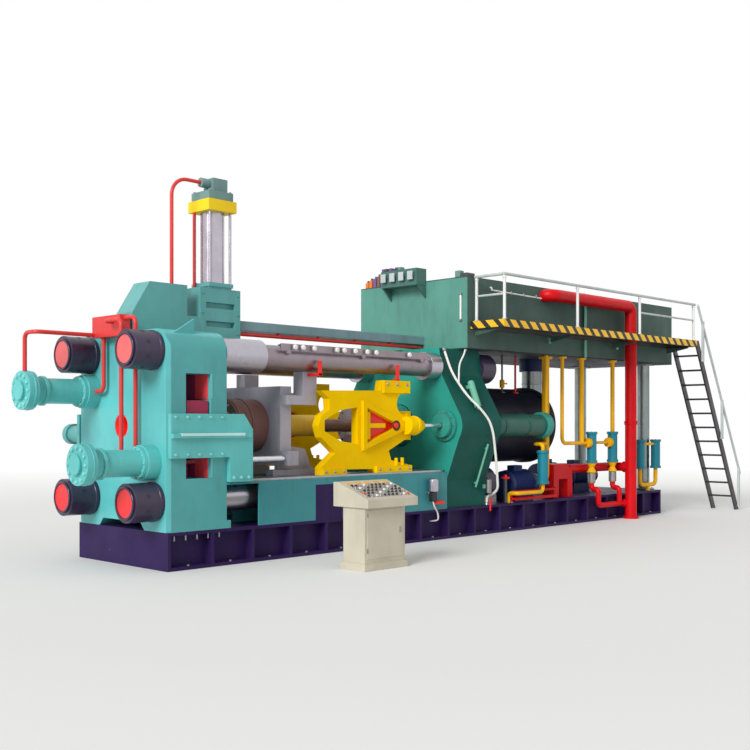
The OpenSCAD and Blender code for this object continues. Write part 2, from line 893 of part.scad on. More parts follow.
module overhead_beam() {
    color([0.08, 0.28, 0.20])
        box([shear_front + shear_l, -top_beam_w/2, beam_z], [tank_x, top_beam_w/2, beam_z + top_beam_h]);
}

module overhead_pipe() {
    start = shear_front + shear_l;
    hanger_pitch = (tank_x - start)/5;
    translate([0, -80, beam_z - 45])
        rod_x(start + 40, tank_x - 40, 50);
    for (i = [1:4])
        box([start + i*hanger_pitch - 20, -100, beam_z - 60], [start + i*hanger_pitch + 20, -60, beam_z]);
}

module hydraulic_pipes() {
    color([0.85, 0.16, 0.14]) {
        front_pipes();
        shear_pipes();
        overhead_pipe();
    }
}

module switch_rail() {
    rail_y = -tie_y - sleeve_d/2 - 34;
    rail_z = axis_z + tie_z + 75;
    color([0.60, 0.61, 0.62])
        difference() {
            union() {
                box([platen_rear + 900, rail_y, rail_z], [cyl_front - 300, rail_y + 20, rail_z + 90]);
                for (x = [platen_rear + 1000, platen_rear + 2300, cyl_front - 460])
                    box([x, rail_y, axis_z + tie_z + 40], [x + 60, -tie_y, rail_z + 90]);
            }
            translate([0, -tie_y, axis_z + tie_z])
                rod_x(platen_rear, cyl_front, sleeve_d + 2*fit);
        }
}

module cyl_outline() {
    knee = 35;
    wing_y = side_cyl_y + wing_r*cos(knee);
    wing_z = wing_r*sin(knee);
    points = [[cyl_foot_w/2, base_h], [cyl_foot_w/2 + 20, axis_z - 795], [wing_y, axis_z - wing_z],
        [wing_y, axis_z + wing_z], [cyl_top_w/2 + 50, axis_z + 725], [cyl_top_w/2, tank_z]];
    last = len(points) - 1;
    polygon(concat(points, [for (i = [0:last]) [-points[last - i][0], points[last - i][1]]]));
    for (side = [-1, 1])
        translate([side*side_cyl_y, axis_z])
            circle(r = wing_r);
}

module cylinder_crosshead() {
    color([0.06, 0.36, 0.27])
        difference() {
            prism_x(cyl_front, cyl_rear)
                cyl_outline();
            at_tie_rods()
                rod_x(cyl_front - 1, cyl_rear + 1, tie_d + 2*fit);
            at_side_cylinders()
                rod_x(cyl_front - 1, cyl_rear + 1, side_rod_d + 2*ram_gap);
            translate([0, 0, axis_z])
                rod_x(cyl_front - 1, cyl_rear + 1, ram_d + 2*ram_gap);
        }
}

module main_cylinder() {
    color([0.05, 0.25, 0.20])
        translate([0, 0, axis_z])
            difference() {
                union() {
                    rod_x(cyl_rear, cyl_rear + main_cyl_l, main_cyl_d);
                    rod_x(cyl_rear, cyl_rear + 160, main_cyl_d + 180);
                    rod_x(cyl_rear + main_cyl_l - 120, cyl_rear + main_cyl_l, main_cyl_d + 60);
                }
                rod_x(cyl_rear - 1, cyl_rear + main_cyl_l - 150, ram_d + 2*ram_gap);
            }
}

module side_cylinders() {
    color([0.07, 0.34, 0.26])
        at_side_cylinders() {
            difference() {
                union() {
                    rod_x(cyl_rear, cyl_rear + side_cyl_l, side_cyl_d);
                    rod_x(cyl_rear + side_cyl_l - 130, cyl_rear + side_cyl_l, side_cyl_d + 70);
                }
                rod_x(cyl_rear - 1, cyl_rear + side_cyl_l - 60, side_rod_d + 2*ram_gap);
            }
            difference() {
                union() {
                    rod_x(cyl_front - gland_l, cyl_front, side_cyl_d);
                    rod_x(cyl_front - 45, cyl_front, side_cyl_d + 100);
                }
                rod_x(cyl_front - gland_l - 1, cyl_front + 1, side_rod_d + 2*ram_gap);
            }
        }
}

module prefill_valve() {
    color([0.62, 0.64, 0.65])
        translate([prefill_x, 0, 0]) {
            translate([0, 0, tank_z - 200])
                cylinder(d = prefill_d + 80, h = 200);
            translate([0, 0, prefill_low])
                cylinder(d = prefill_d, h = tank_z - prefill_low);
            translate([0, 0, prefill_low - 250])
                cylinder(d = elbow_d - 20, h = 260);
        }
}

module prefill_elbow() {
    top = prefill_low - 250;
    color([0.10, 0.50, 0.40]) {
        pipe([[prefill_x, 0, top], [prefill_x, 0, axis_z - 150], [cyl_rear + main_cyl_l, 0, axis_z - 150]],
            elbow_d, prefill_gap - 20);
        translate([prefill_x, 0, top - 40])
            cylinder(d = elbow_d + 70, h = 40);
    }
}

module tank_slab(p1, p2) {
    translate([tank_x, tank_y, tank_z])
        box(p1, p2);
}

module tank_floor() {
    color([0.20, 0.30, 0.27])
        tank_slab([0, 0, 0], [tank_l, tank_w, tank_t]);
}

module tank_walls() {
    color([0.24, 0.31, 0.28]) {
        tank_slab([tank_t, 0, tank_t], [tank_l - tank_t, tank_t, tank_h - tank_t]);
        translate([tank_x + 3050, tank_y - 40, walk_z])
            cube([60, 40 + tank_t, tank_top - tank_t - walk_z]);
        tank_slab([tank_t, tank_w - tank_t, tank_t], [tank_l - tank_t, tank_w, tank_h - tank_t]);
    }
}

module tank_ends() {
    color([0.45, 0.66, 0.58]) {
        tank_slab([0, 0, tank_t], [tank_t, tank_w, tank_h - tank_t]);
        tank_slab([tank_l - tank_t, 0, tank_t], [tank_l, tank_w, tank_h - tank_t]);
    }
}

module tank_lid() {
    color([0.24, 0.31, 0.28])
        tank_slab([0, 0, tank_h - tank_t], [tank_l, tank_w, tank_h]);
}

module tank_valve_bank() {
    low = tank_top - 70;
    middle = bank_y;
    color([0.30, 0.50, 0.42]) {
        box([tank_x - bank_t, middle - bank_w/2, low], [tank_x, middle + bank_w/2, tank_top + 180]);
        for (i = [0:3])
            translate([0, middle - bank_w/2 + (i + 0.5)*bank_w/4, tank_top + 70])
                rod_x(tank_x - bank_t - 50, tank_x - bank_t + 1, 110);
        for (side = [-1, 1])
            translate([0, middle + side*(bank_w/2 - 15), 0])
                prism_y(-12, 12)
                    polygon([[tank_x - bank_t + 20, low + 1], [tank_x, low - 190], [tank_x, low + 1]]);
    }
}

module tank_columns() {
    plate = column_d + 60;
    color([0.55, 0.57, 0.57])
        for (side = [-1, 1])
            translate([-front_x - column_inset, side*column_y, base_h]) {
                cylinder(d = column_d, h = tank_z - base_h);
                translate([-plate/2, -plate/2, 0])
                    cube([plate, plate, 30]);
                translate([-plate/2, -plate/2, tank_z - base_h - 30])
                    cube([plate, plate, 30]);
            }
}

// Flexible conduit: straight lengths with round joints
module hose(points, d, joint_d) {
    last = len(points) - 1;
    for (i = [0:last - 1]) {
        step = points[i + 1] - points[i];
        length = norm(step);
        translate(points[i])
            rotate([0, acos(step[2]/length), atan2(step[1], step[0])])
                cylinder(d = d, h = length);
    }
    for (i = [1:last - 1])
        translate(points[i])
            sphere(d = joint_d);
}

module conduit() {
    wing = side_cyl_y + wing_r + conduit_d/2 + 12;
    shoulder = cyl_top_w/2 + conduit_d/2 + 12;
    rear = cyl_rear + conduit_d/2 + 12;
    foot_y = 40 - base_w/2;
    color([0.78, 0.79, 0.78])
        hose([[cyl_front + 60, -shoulder, tank_z - 1], [cyl_front + 140, -shoulder - 90, axis_z + 750],
            [cyl_front + 260, -shoulder - 275, axis_z + 425], [cyl_front + 420, -wing + 20, axis_z + 225],
            [cyl_front + 560, -wing - 20, axis_z + 60], [cyl_front + 640, -wing - 20, axis_z - 115],
            [cyl_front + 790, -wing + 40, axis_z - 565], [rear, -wing + 120, axis_z - 965],
            [rear + 20, foot_y, base_h + 120], [rear + 20, foot_y, base_h]], conduit_d, conduit_d + 10);
}

module walkway_deck() {
    color([0.20, 0.20, 0.18])
        difference() {
            box([walk_x, tank_y - walk_w, walk_z - walk_edge], [walk_end, tank_y, walk_z]);
            box([walk_x + walk_plate, tank_y - walk_w + walk_plate, walk_z - walk_edge - 1],
                [walk_end - walk_plate, tank_y - walk_plate, walk_z - walk_plate]);
            translate([tank_x + return_x, return_y, walk_z - walk_edge])
                cylinder(d = return_d + 60, h = 2*walk_edge);
        }
}

module guard_posts() {
    bays = 3;
    first = walk_x + 60;
    pitch = (walk_l - 120)/bays;
    color([0.85, 0.86, 0.85]) {
        for (i = [0:bays])
            translate([first + i*pitch, tank_y - walk_w + 40, walk_z])
                cylinder(d = rail_d, h = rail_h);
        translate([first, tank_y - 60, walk_z])
            cylinder(d = rail_d, h = rail_h);
    }
}

module guard_rails() {
    first = walk_x + 60;
    z = walk_z + rail_h;
    mid_z = walk_z + 0.58*rail_h;
    outer_y = tank_y - walk_w + 40;
    last_post = first + walk_l - 120;
    color([0.85, 0.86, 0.85]) {
        translate([0, outer_y, z + rail_d/2])
            rod_x(first - rail_d/2, walk_end, rail_d);
        translate([first, 0, z + rail_d/2])
            rod_y(outer_y + rail_d/2 + 1, tank_y - 30, rail_d);
        translate([first, 0, mid_z])
            rod_y(outer_y + rail_d/2, tank_y - 60 - rail_d/2, rail_d - 11);
        translate([0, outer_y, mid_z])
            rod_x(last_post - (walk_l - 120)/3 + rail_d/2, last_post - rail_d/2, rail_d - 11);
    }
}

module stringer_outline() {
    polygon([[walk_end, walk_z], [walk_end, walk_z - walk_edge], [walk_end + ladder_run - 130, 0],
        [walk_end + ladder_run, 0], [walk_end + 70, walk_z]]);
}

module ladder() {
    near = tank_y - walk_w;
    rise = walk_z/(rung_count + 1);
    color([0.16, 0.17, 0.16]) {
        prism_y(near, near + stringer_t)
            stringer_outline();
        prism_y(near + ladder_w - stringer_t, near + ladder_w)
            stringer_outline();
        for (i = [1:rung_count])
            translate([walk_end + ladder_run - 70 - i*rise*(ladder_run - 70)/walk_z, 0, i*rise])
                rod_y(near + stringer_t/2, near + ladder_w - stringer_t/2, 36);
    }
}

module ladder_handrail() {
    near = tank_y - walk_w;
    lift = 700;
    color([0.80, 0.82, 0.80]) {
        prism_y(near - 40, near)
            polygon([[walk_end, walk_z + rail_h - 20], [walk_end, walk_z + rail_h + 20],
                [walk_end + ladder_run, lift + 20], [walk_end + ladder_run, lift - 20]]);
        for (t = [0.1, 0.55, 0.96])
            box([walk_end + t*ladder_run, near - 40, (1 - t)*walk_z - 60],
                [walk_end + t*ladder_run + 40, near, (1 - t)*walk_z + lift - 30]);
    }
}

module at_pump_sets() {
    for (p = [[first_pump_x, -first_pump_y], [rear_pump_x, 0], [rear_pump_x, rear_pump_pitch]])
        translate([tank_x + p[0], p[1], 0])
            children();
}

module pump_motors() {
    color([0.10, 0.12, 0.32])
        at_pump_sets() {
            translate([0, 0, shaft_z])
                rod_x(0, motor_l, motor_d);
            box([60, -motor_d/2 + 30, base_h], [motor_l - 60, motor_d/2 - 30, shaft_z - motor_d/4]);
        }
}

module oil_pumps() {
    color([0.20, 0.21, 0.24])
        at_pump_sets()
            translate([0, 0, shaft_z])
                rod_x(motor_l, motor_l + pump_l, pump_d);
}

module at_check_valves() {
    for (x = [valve_1, valve_2])
        translate([tank_x + x, valve_y, valve_low])
            children();
    for (x = [valve_3, valve_4])
        translate([tank_x + x, valve_y, valve_low - 150])
            children();
    translate([tank_x + valve_5, outer_valve_y, valve_low - 280])
        children();
}

module check_valves() {
    color([0.15, 0.55, 0.50])
        at_check_valves() {
            cylinder(d = valve_d + 30, h = 40);
            cylinder(d = valve_d, h = valve_h);
            translate([0, 0, valve_h - 40])
                cylinder(d = valve_d + 30, h = 40);
        }
}

// Waisted couplings and stop valves under the two front check valves
module valve_couplings() {
    color([0.95, 0.72, 0.05])
        for (x = [valve_1, valve_2])
            translate([tank_x + x, valve_y, valve_low - 160]) {
                cylinder(d1 = valve_d, d2 = valve_d/2, h = 80);
                translate([0, 0, 80])
                    cylinder(d1 = valve_d/2, d2 = valve_d, h = 80);
                translate([0, 0, -180])
                    cylinder(d = 0.7*valve_d, h = 180);
            }
}

module suction_pipes() {
    pump_end = tank_x + first_pump_x + motor_l + pump_l;
    elbow_x = pump_end + 220;
    side_z = valve_low + 0.65*valve_h;
    link_z = valve_low - 150 + 0.85*valve_h;
    u_z = base_h + 110;
    foot_x = tank_x + first_pump_x - 90;
    foot_z = base_h + 150;
    outer_top = valve_low - 280 + valve_h;
    valve_r = valve_d/2;
    color([0.92, 0.72, 0.08]) {
        pipe([[elbow_x, -first_pump_y, tank_z], [elbow_x, -first_pump_y, shaft_z],
            [pump_end, -first_pump_y, shaft_z]], 1.5*suction_d, 140);
        pipe([[tank_x + suction_x, valve_y, tank_z], [tank_x + suction_x, valve_y, side_z],
            [tank_x + valve_1 - valve_r, valve_y, side_z]], 0.75*suction_d, 100);
        translate([tank_x + valve_1 - 300, valve_y, side_z])
            cylinder(d = suction_d, h = tank_z - side_z);
        translate([0, valve_y, side_z])
            rod_x(tank_x + valve_1 - valve_r - 70, tank_x + valve_1 - valve_r, 2*suction_d);
        translate([tank_x + valve_2, valve_y, valve_low + valve_h])
            cylinder(d = 0.9*suction_d, h = tank_z - valve_low - valve_h);
        translate([0, valve_y, side_z]) {
            rod_x(tank_x + valve_1 + valve_r, tank_x + valve_2 - valve_r, 0.6*suction_d);
            rod_x(tank_x + valve_2 - valve_r - 70, tank_x + valve_2 - valve_r, 2*suction_d);
        }
        translate([0, valve_y, link_z])
            rod_x(tank_x + valve_3 + valve_r, tank_x + valve_4 - valve_r, 0.6*suction_d);
        pipe([[tank_x + valve_3, valve_y, valve_low - 150], [tank_x + valve_3, valve_y, u_z],
            [tank_x + valve_4, valve_y, u_z], [tank_x + valve_4, valve_y, valve_low - 150]], 0.9*suction_d, 90);
        box([tank_x + (valve_3 + valve_4)/2 - 30, valve_y - 25, base_h],
            [tank_x + (valve_3 + valve_4)/2 + 30, valve_y + 25, u_z]);
        pipe([[tank_x + valve_5, outer_valve_y, valve_low - 280], [tank_x + valve_5, outer_valve_y, foot_z],
            [foot_x, outer_valve_y, foot_z], [foot_x, valve_y, foot_z], [foot_x, valve_y, base_h]],
            0.75*suction_d, 60);
        pipe([[tank_x + valve_5, outer_valve_y, outer_top], [tank_x + valve_5, outer_valve_y, outer_top + 100],
            [tank_x + valve_5, valve_y, outer_top + 100], [tank_x + valve_5 + 330, valve_y, outer_top + 100],
            [tank_x + valve_5 + 330, valve_y, tank_z]], 0.75*suction_d, 60);
    }
}

module header_pipe() {
    start = tank_x + filter_x + filter_l;
    drop = valve_low - 340;
    low = base_h + 110;
    first_x = tank_x + valve_1;
    second_x = tank_x + valve_2;
    color([0.80, 0.14, 0.12]) {
        pipe([[start, header_y, header_z], [tank_x + return_x, header_y, header_z],
            [tank_x + return_x, return_y + return_d/2 + 40 + fit, header_z]], header_d, 150);
        pipe([[first_x, valve_y, drop], [first_x, valve_y, low], [first_x, branch_y, low],
            [first_x, branch_y, branch_z], [tank_x + return_x - return_d/2 - 40 - fit, branch_y, branch_z]],
            branch_d, 60);
        pipe([[second_x, valve_y, drop], [second_x, valve_y, low], [second_x, branch_y, low],
            [second_x, branch_y, branch_z + branch_d/2 - 10]], branch_d, 60);
    }
}

module return_pipe() {
    color([0.82, 0.12, 0.12]) {
        pipe([[tank_x + return_start, tank_y, return_top], [tank_x + return_start, return_y, return_top],
            [tank_x + return_x, return_y, return_top], [tank_x + return_x, return_y, 0]], return_d, 130);
        translate([tank_x + return_x, return_y, 0])
            cylinder(d = return_d + 70, h = 40);
        translate([tank_x + return_x, branch_y, branch_z])
            rod_x(-return_d/2 - 40, 0, branch_d + 40);
        translate([tank_x + return_x, return_y, header_z])
            rod_y(0, return_d/2 + 40, header_d + 40);
    }
}

module filter_unit() {
    leg = 140;
    color([0.80, 0.14, 0.12])
        translate([tank_x + filter_x, header_y - filter_w/2, base_h])
            difference() {
                cube([filter_l, filter_w, filter_h]);
                translate([leg, -1, -1])
                    cube([filter_l - 2*leg, filter_w + 2, 0.55*filter_h]);
                translate([filter_l, -1, filter_h])
                    rotate([0, 45, 0])
                        cube([200, filter_w + 2, 200], center = true);
            }
}

module at_console() {
    translate([platen_rear + console_x, -base_w/2 - console_gap - console_depth, 0])
        children();
}

module console_cabinet() {
    color([0.78, 0.74, 0.64])
        at_console() {
            translate([desk_left - 25, -25, 0])
                cube([cabinet_w + 50, console_depth + 50, plinth_h]);
            translate([desk_left, 0, 0])
                cube([cabinet_w, console_depth, console_front_h - desk_edge]);
        }
}

module console_panel() {
    low = console_front_h - desk_edge;
    rear = console_depth + desk_rear;
    color([0.84, 0.80, 0.70])
        at_console()
            rotate([90, 0, 90])
                linear_extrude(console_w)
                    polygon([[-desk_overhang, low], [rear, low], [rear, console_rear_h],
                        [rear - 60, console_rear_h], [-desk_overhang, console_front_h]]);
}

module container_body() {
    color([0.36, 0.22, 0.16])
        translate([0, 0, axis_z])
            ring_x(container_front, container_rear, container_d, liner_d + 2*fit);
}

module container_liner() {
    color([0.55, 0.45, 0.30])
        translate([0, 0, axis_z])
            ring_x(container_front - 20, container_rear, liner_d, container_bore);
}

module container_holder() {
    holder_x = container_rear - holder_t;
    arm_low = axis_z + 265;
    arm_in = holder_half_w - 60;
    arm_out = holder_half_w + 120;
    color([0.50, 0.51, 0.52])
        difference() {
            union() {
                box([holder_x, -holder_half_w, shoe_z + 130], [container_rear, holder_half_w, axis_z + 500]);
                both_sides() {
                    box([holder_x - 120, holder_half_w - holder_foot_w, shoe_z],
                        [container_rear + 460, holder_half_w, shoe_z + 75]);
                    prism_y(holder_half_w - holder_foot_w, holder_half_w - holder_foot_w/2)
                        polygon([[holder_x + 20, shoe_z + 60], [container_rear + 420, shoe_z + 60],
                            [container_rear + 300, shoe_z + 330], [holder_x + 20, shoe_z + 400]]);
                    box([holder_x, arm_in, arm_low], [container_rear + 330, arm_out, arm_low + 120]);
                    box([container_rear + 90, arm_in, arm_low],
                        [container_rear + 330, arm_out, axis_z + tie_z - sleeve_d/2 - 12]);
                }
                at_shift_cylinders()
                    box([holder_x, -75, -90], [container_rear, 75, 90]);
            }
            translate([0, 0, axis_z])
                rod_x(holder_x - 1, container_rear + 1, container_d + 2*fit);
        }
}

module container_rods() {
    color([0.72, 0.73, 0.75])
        at_shift_cylinders()
            rod_x(front_x - 250, container_rear - holder_t, shift_rod_d);
}

// Outline of a side frame, drawn about the middle of the crosshead on the press axis
module side_frame_outline() {
    foot = shoe_z - axis_z;
    polygon([[-720, 450], [360, 470], [390, head_w], [900, head_w], [900, 150], [1000, 120], [1000, -120],
        [520, -diamond_h - 10], [570, -470], [940, foot + 85], [940, foot], [250, foot], [220, foot + 50],
        [-300, foot + 60], [-310, foot], [-720, foot], [-720, foot + 100], [-470, -diamond_h - 15],
        [-720, -150], [-770, 0], [-720, 130], [-570, 210], [-580, 345]]);
}

module left_window() {
    polygon([[-660, 70], [-380, 200], [-70, diamond_h - 90], [-70, 90 - diamond_h], [-380, -200], [-660, -70]]);
}

module right_window() {
    polygon([[70, diamond_h - 95], [70, 95 - diamond_h], [640, -25], [640, 25]]);
}

module right_border() {
    polygon([[0, diamond_h], [0, -diamond_h], [780, -70], [780, 70]]);
}

module side_frame() {
    outer = side_inner + side_t;
    rib_low = side_inner + side_plate_t - 20;
    foot = shoe_z - axis_z;
    difference() {
        union() {
            difference() {
                union() {
                    prism_y(side_inner, side_inner + side_plate_t)
                        side_frame_outline();
                    prism_y(rib_low, outer)
                        right_border();
                }
                prism_y(side_inner - 1, outer + 1)
                    right_window();
            }
            box([390, rib_low, 440], [900, outer, head_w]);
            box([250, rib_low, foot], [940, outer, foot + 85]);
            box([-720, rib_low, foot], [-310, outer, foot + 80]);
            box([50, side_inner + 60 + red_web_t, -180], [140, outer - 20, 180]);
            box([130, side_inner + 60 + red_web_t, -30], [430, outer - 20, 30]);
        }
        prism_y(side_inner - 1, outer + 1)
            left_window();
        prism_y(side_inner - 1, outer + 1)
            translate([830, 300])
                circle(r = 150);
    }
}

module crosshead_frame() {
    lug_x = crosshead_x + 1110;
    color([0.95, 0.68, 0.04])
        difference() {
            union() {
                translate([crosshead_x, 0, axis_z])
                    both_sides()
                        side_frame();
                box([beam_front, -side_inner - 20, axis_z - beam_h/2],
                    [beam_rear, side_inner + 20, axis_z + beam_h/2]);
                translate([0, 0, axis_z])
                    rod_x(beam_front, beam_rear, hub_d);
                at_side_cylinders() {
                    rod_x(crosshead_x + 790, lug_x - 120, lug_d);
                    translate([lug_x - 120, 0, 0])
                        rotate([0, 90, 0])
                            cylinder(d1 = lug_d, d2 = lug_d - 110, h = 120);
                }
            }
            at_side_cylinders()
                rod_x(crosshead_x + 960, lug_x + 1, side_rod_d + 2*fit);
        }
}

module crosshead_webs() {
    color([0.85, 0.10, 0.08])
        translate([crosshead_x, 0, axis_z])
            both_sides()
                prism_y(side_inner + 60, side_inner + 60 + red_web_t)
                    right_window();
}

module stem_assembly() {
    plate_x = beam_front - stem_plate_t;
    color([0.30, 0.31, 0.34])
        translate([0, 0, axis_z]) {
            rod_x(plate_x, beam_front, stem_plate_d);
            rod_x(container_rear + 270 + dummy_l, beam_front, stem_d);
        }
}

module dummy_block() {
    color([0.85, 0.65, 0.15])
        translate([0, 0, axis_z])
            rod_x(container_rear + 270, container_rear + 270 + dummy_l, dummy_d);
}

module rams() {
    color([0.78, 0.79, 0.81]) {
        translate([0, 0, axis_z])
            rod_x(beam_rear, cyl_rear + main_cyl_l - 150 - back_travel - 40, ram_d);
        at_side_cylinders()
            rod_x(crosshead_x + 960, cyl_rear + side_cyl_l - 60 - back_travel - 20, side_rod_d);
    }
}

base_frame();
service_panels();
machine_bed();
slide_ways();
front_platen();
die_slide();
die_slide_seat();
die_stack();
die_guide_plates();
die_slide_cylinder();
tie_rods();
tie_rod_collars();
tie_rod_nuts();
nut_discs();
container_cylinders();
front_manifold();
hydraulic_pipes();
shear_bracket();
shear_column();
shear_cylinder();
shear_band();
shear_head();
overhead_beam();
switch_rail();
cylinder_crosshead();
main_cylinder();
side_cylinders();
prefill_valve();
prefill_elbow();
tank_floor();
tank_walls();
tank_ends();
tank_lid();
tank_valve_bank();
tank_columns();
conduit();
walkway_deck();
guard_posts();
guard_rails();
ladder();
ladder_handrail();
pump_motors();
oil_pumps();
check_valves();
valve_couplings();
suction_pipes();
header_pipe();
return_pipe();
filter_unit();
console_cabinet();
console_panel();
container_body();
container_liner();
container_holder();
container_rods();
crosshead_frame();
crosshead_webs();
stem_assembly();
dummy_block();
rams();
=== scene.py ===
import math
from itertools import product

import bmesh
import bpy
from mathutils import Matrix, Vector


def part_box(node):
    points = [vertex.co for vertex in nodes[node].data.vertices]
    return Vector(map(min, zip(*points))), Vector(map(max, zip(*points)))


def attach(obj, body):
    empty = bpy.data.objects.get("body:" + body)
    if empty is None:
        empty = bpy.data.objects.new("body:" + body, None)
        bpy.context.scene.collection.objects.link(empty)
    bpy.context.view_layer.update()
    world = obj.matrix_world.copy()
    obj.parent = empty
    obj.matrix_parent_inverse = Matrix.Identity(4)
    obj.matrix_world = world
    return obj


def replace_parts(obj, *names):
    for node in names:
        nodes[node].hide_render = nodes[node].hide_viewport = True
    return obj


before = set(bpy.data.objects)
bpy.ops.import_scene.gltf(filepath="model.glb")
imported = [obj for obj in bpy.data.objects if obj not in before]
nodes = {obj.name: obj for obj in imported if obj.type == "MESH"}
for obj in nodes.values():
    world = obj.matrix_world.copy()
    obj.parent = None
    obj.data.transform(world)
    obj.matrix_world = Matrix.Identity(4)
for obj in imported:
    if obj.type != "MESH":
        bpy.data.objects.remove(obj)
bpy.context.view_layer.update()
X, Y, Z = Vector((1, 0, 0)), Vector((0, 1, 0)), Vector((0, 0, 1))

# Main places, taken from the solids
platen_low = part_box("front_platen")[0]
body_low, body_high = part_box("container_body")
FRONT = platen_low[0]
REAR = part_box("die_stack")[1][0] + 0.010
HALF_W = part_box("base_frame")[1][1]
BASE_TOP = platen_low[2]
PLATEN_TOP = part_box("shear_bracket")[0][2]
CYL_FRONT, CYL_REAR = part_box("cylinder_crosshead")[0][0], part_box("cylinder_crosshead")[1][0]
AXIS = (body_low[2] + body_high[2])/2
TANK_X, TANK_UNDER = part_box("tank_floor")[0][0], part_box("tank_floor")[0][2]
TANK_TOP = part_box("tank_lid")[1][2]
SHEAR_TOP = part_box("shear_cylinder")[0][2]
CROSS = CYL_FRONT - 1.620  # the crosshead's middle at rest
GUIDE_OUT = HALF_W + 0.060  # outer faces of the die guide plates
TIE_Y, TIE_Z = 0.680, 0.850  # tie rods, from the axis
SHIFT_Y, SHIFT_Z = 0.630, 0.410  # container cylinders, from the axis
SIDE_Y = 0.920  # side cylinders, from the axis
PIPE_Y = -0.90  # line of valves and suction pipes on the near side
BOTH = (-1, 1)


# Materials

def srgb(r, g, b):
    """Linear colour of a display colour given in 0 to 255."""
    def linear(v):
        v /= 255
        return v/12.92 if v <= 0.04045 else ((v + 0.055)/1.055)**2.4
    return (linear(r), linear(g), linear(b), 1.0)


def scaled(colour, k):
    """A colour made lighter or darker by a factor."""
    return tuple(min(1.0, c*k) for c in colour[:3]) + (1.0,)


class Graph:
    """A material's node tree, with short calls for what the paints and metals share."""

    def __init__(self, name):
        self.material = bpy.data.materials.new(name)
        self.material.use_nodes = True
        self.tree = self.material.node_tree
        self.tree.nodes.clear()
        self.out = self.node("ShaderNodeOutputMaterial")
        self.shader = self.node("ShaderNodeBsdfPrincipled")
        self.link(self.shader.outputs["BSDF"], self.out.inputs["Surface"])
        self.coords = self.node("ShaderNodeTexCoord").outputs["Object"]

    def node(self, kind, **values):
        n = self.tree.nodes.new(kind)
        for key, value in values.items():
            setattr(n, key, value)
        return n

    def link(self, a, b):
        self.tree.links.new(a, b)

    def noise(self, scale, detail=4.0, rough=0.55, stretch=(1, 1, 1)):
        mapping = self.node("ShaderNodeMapping")
        mapping.inputs["Scale"].default_value = stretch
        self.link(self.coords, mapping.inputs["Vector"])
        n = self.node("ShaderNodeTexNoise")
        n.inputs["Scale"].default_value = scale
        n.inputs["Detail"].default_value = detail
        n.inputs["Roughness"].default_value = rough
        self.link(mapping.outputs["Vector"], n.inputs["Vector"])
        return n.outputs["Fac"]

    def span(self, value, low, high, to_low=0.0, to_high=1.0):
        n = self.node("ShaderNodeMapRange")
        for key, v in (("From Min", low), ("From Max", high), ("To Min", to_low), ("To Max", to_high)):
            n.inputs[key].default_value = v
        self.link(value, n.inputs["Value"])
        return n.outputs["Result"]

    def math(self, how, a, b=0.0):
        n = self.node("ShaderNodeMath", operation=how)
        for i, v in enumerate((a, b)):
            if isinstance(v, (int, float)):
                n.inputs[i].default_value = v
            else:
                self.link(v, n.inputs[i])
        return n.outputs["Value"]

    def mix(self, factor, a, b):
        n = self.node("ShaderNodeMix", data_type="RGBA")
        self.link(factor, n.inputs["Factor"])
        for index, v in ((6, a), (7, b)):
            if isinstance(v, tuple):
                n.inputs[index].default_value = v
            else:
                self.link(v, n.inputs[index])
        return n.outputs[2]

    def shades(self, factor, colour, dark, light):
        """A colour that goes from a darker to a lighter shade of itself."""
        return self.mix(factor, scaled(colour, dark), scaled(colour, light))

    def xyz(self, vector):
        n = self.node("ShaderNodeSeparateXYZ")
        self.link(vector, n.inputs["Vector"])
        return n.outputs

    def bump(self, height, strength, distance):
        n = self.node("ShaderNodeBump")
        n.inputs["Strength"].default_value = strength
        n.inputs["Distance"].default_value = distance
        self.link(height, n.inputs["Height"])
        self.link(self.rounded(), n.inputs["Normal"])
        self.link(n.outputs["Normal"], self.shader.inputs["Normal"])

    def rounded(self, radius=0.010):
        """Normal with the sharp edges eased, as paint and grinding leave them."""
        n = self.node("ShaderNodeBevel", samples=4)
        n.inputs["Radius"].default_value = radius
        return n.outputs["Normal"]

    def edges(self, radius=0.016):
        """1 along sharp edges, 0 on flat and gently curved faces."""
        n = self.node("ShaderNodeVectorMath", operation="DOT_PRODUCT")
        self.link(self.rounded(radius), n.inputs[0])
        self.link(self.node("ShaderNodeNewGeometry").outputs["Normal"], n.inputs[1])
        return self.span(n.outputs["Value"], 0.80, 0.985, 1.0, 0.0)

    def across(self):
        """1 on faces that look along Y, the press's two flanks; paint() uses it to put a painted shade there.
        """
        normal = self.xyz(self.node("ShaderNodeNewGeometry").outputs["Normal"])
        return self.span(self.math("ABSOLUTE", normal["Y"]), 0.55, 0.75)

    def set(self, **values):
        for key, v in values.items():
            socket = self.shader.inputs[key.replace("_", " ")]
            if isinstance(v, (int, float, tuple)):
                socket.default_value = v
            else:
                self.link(v, socket)


GRIME = srgb(62, 56, 48)


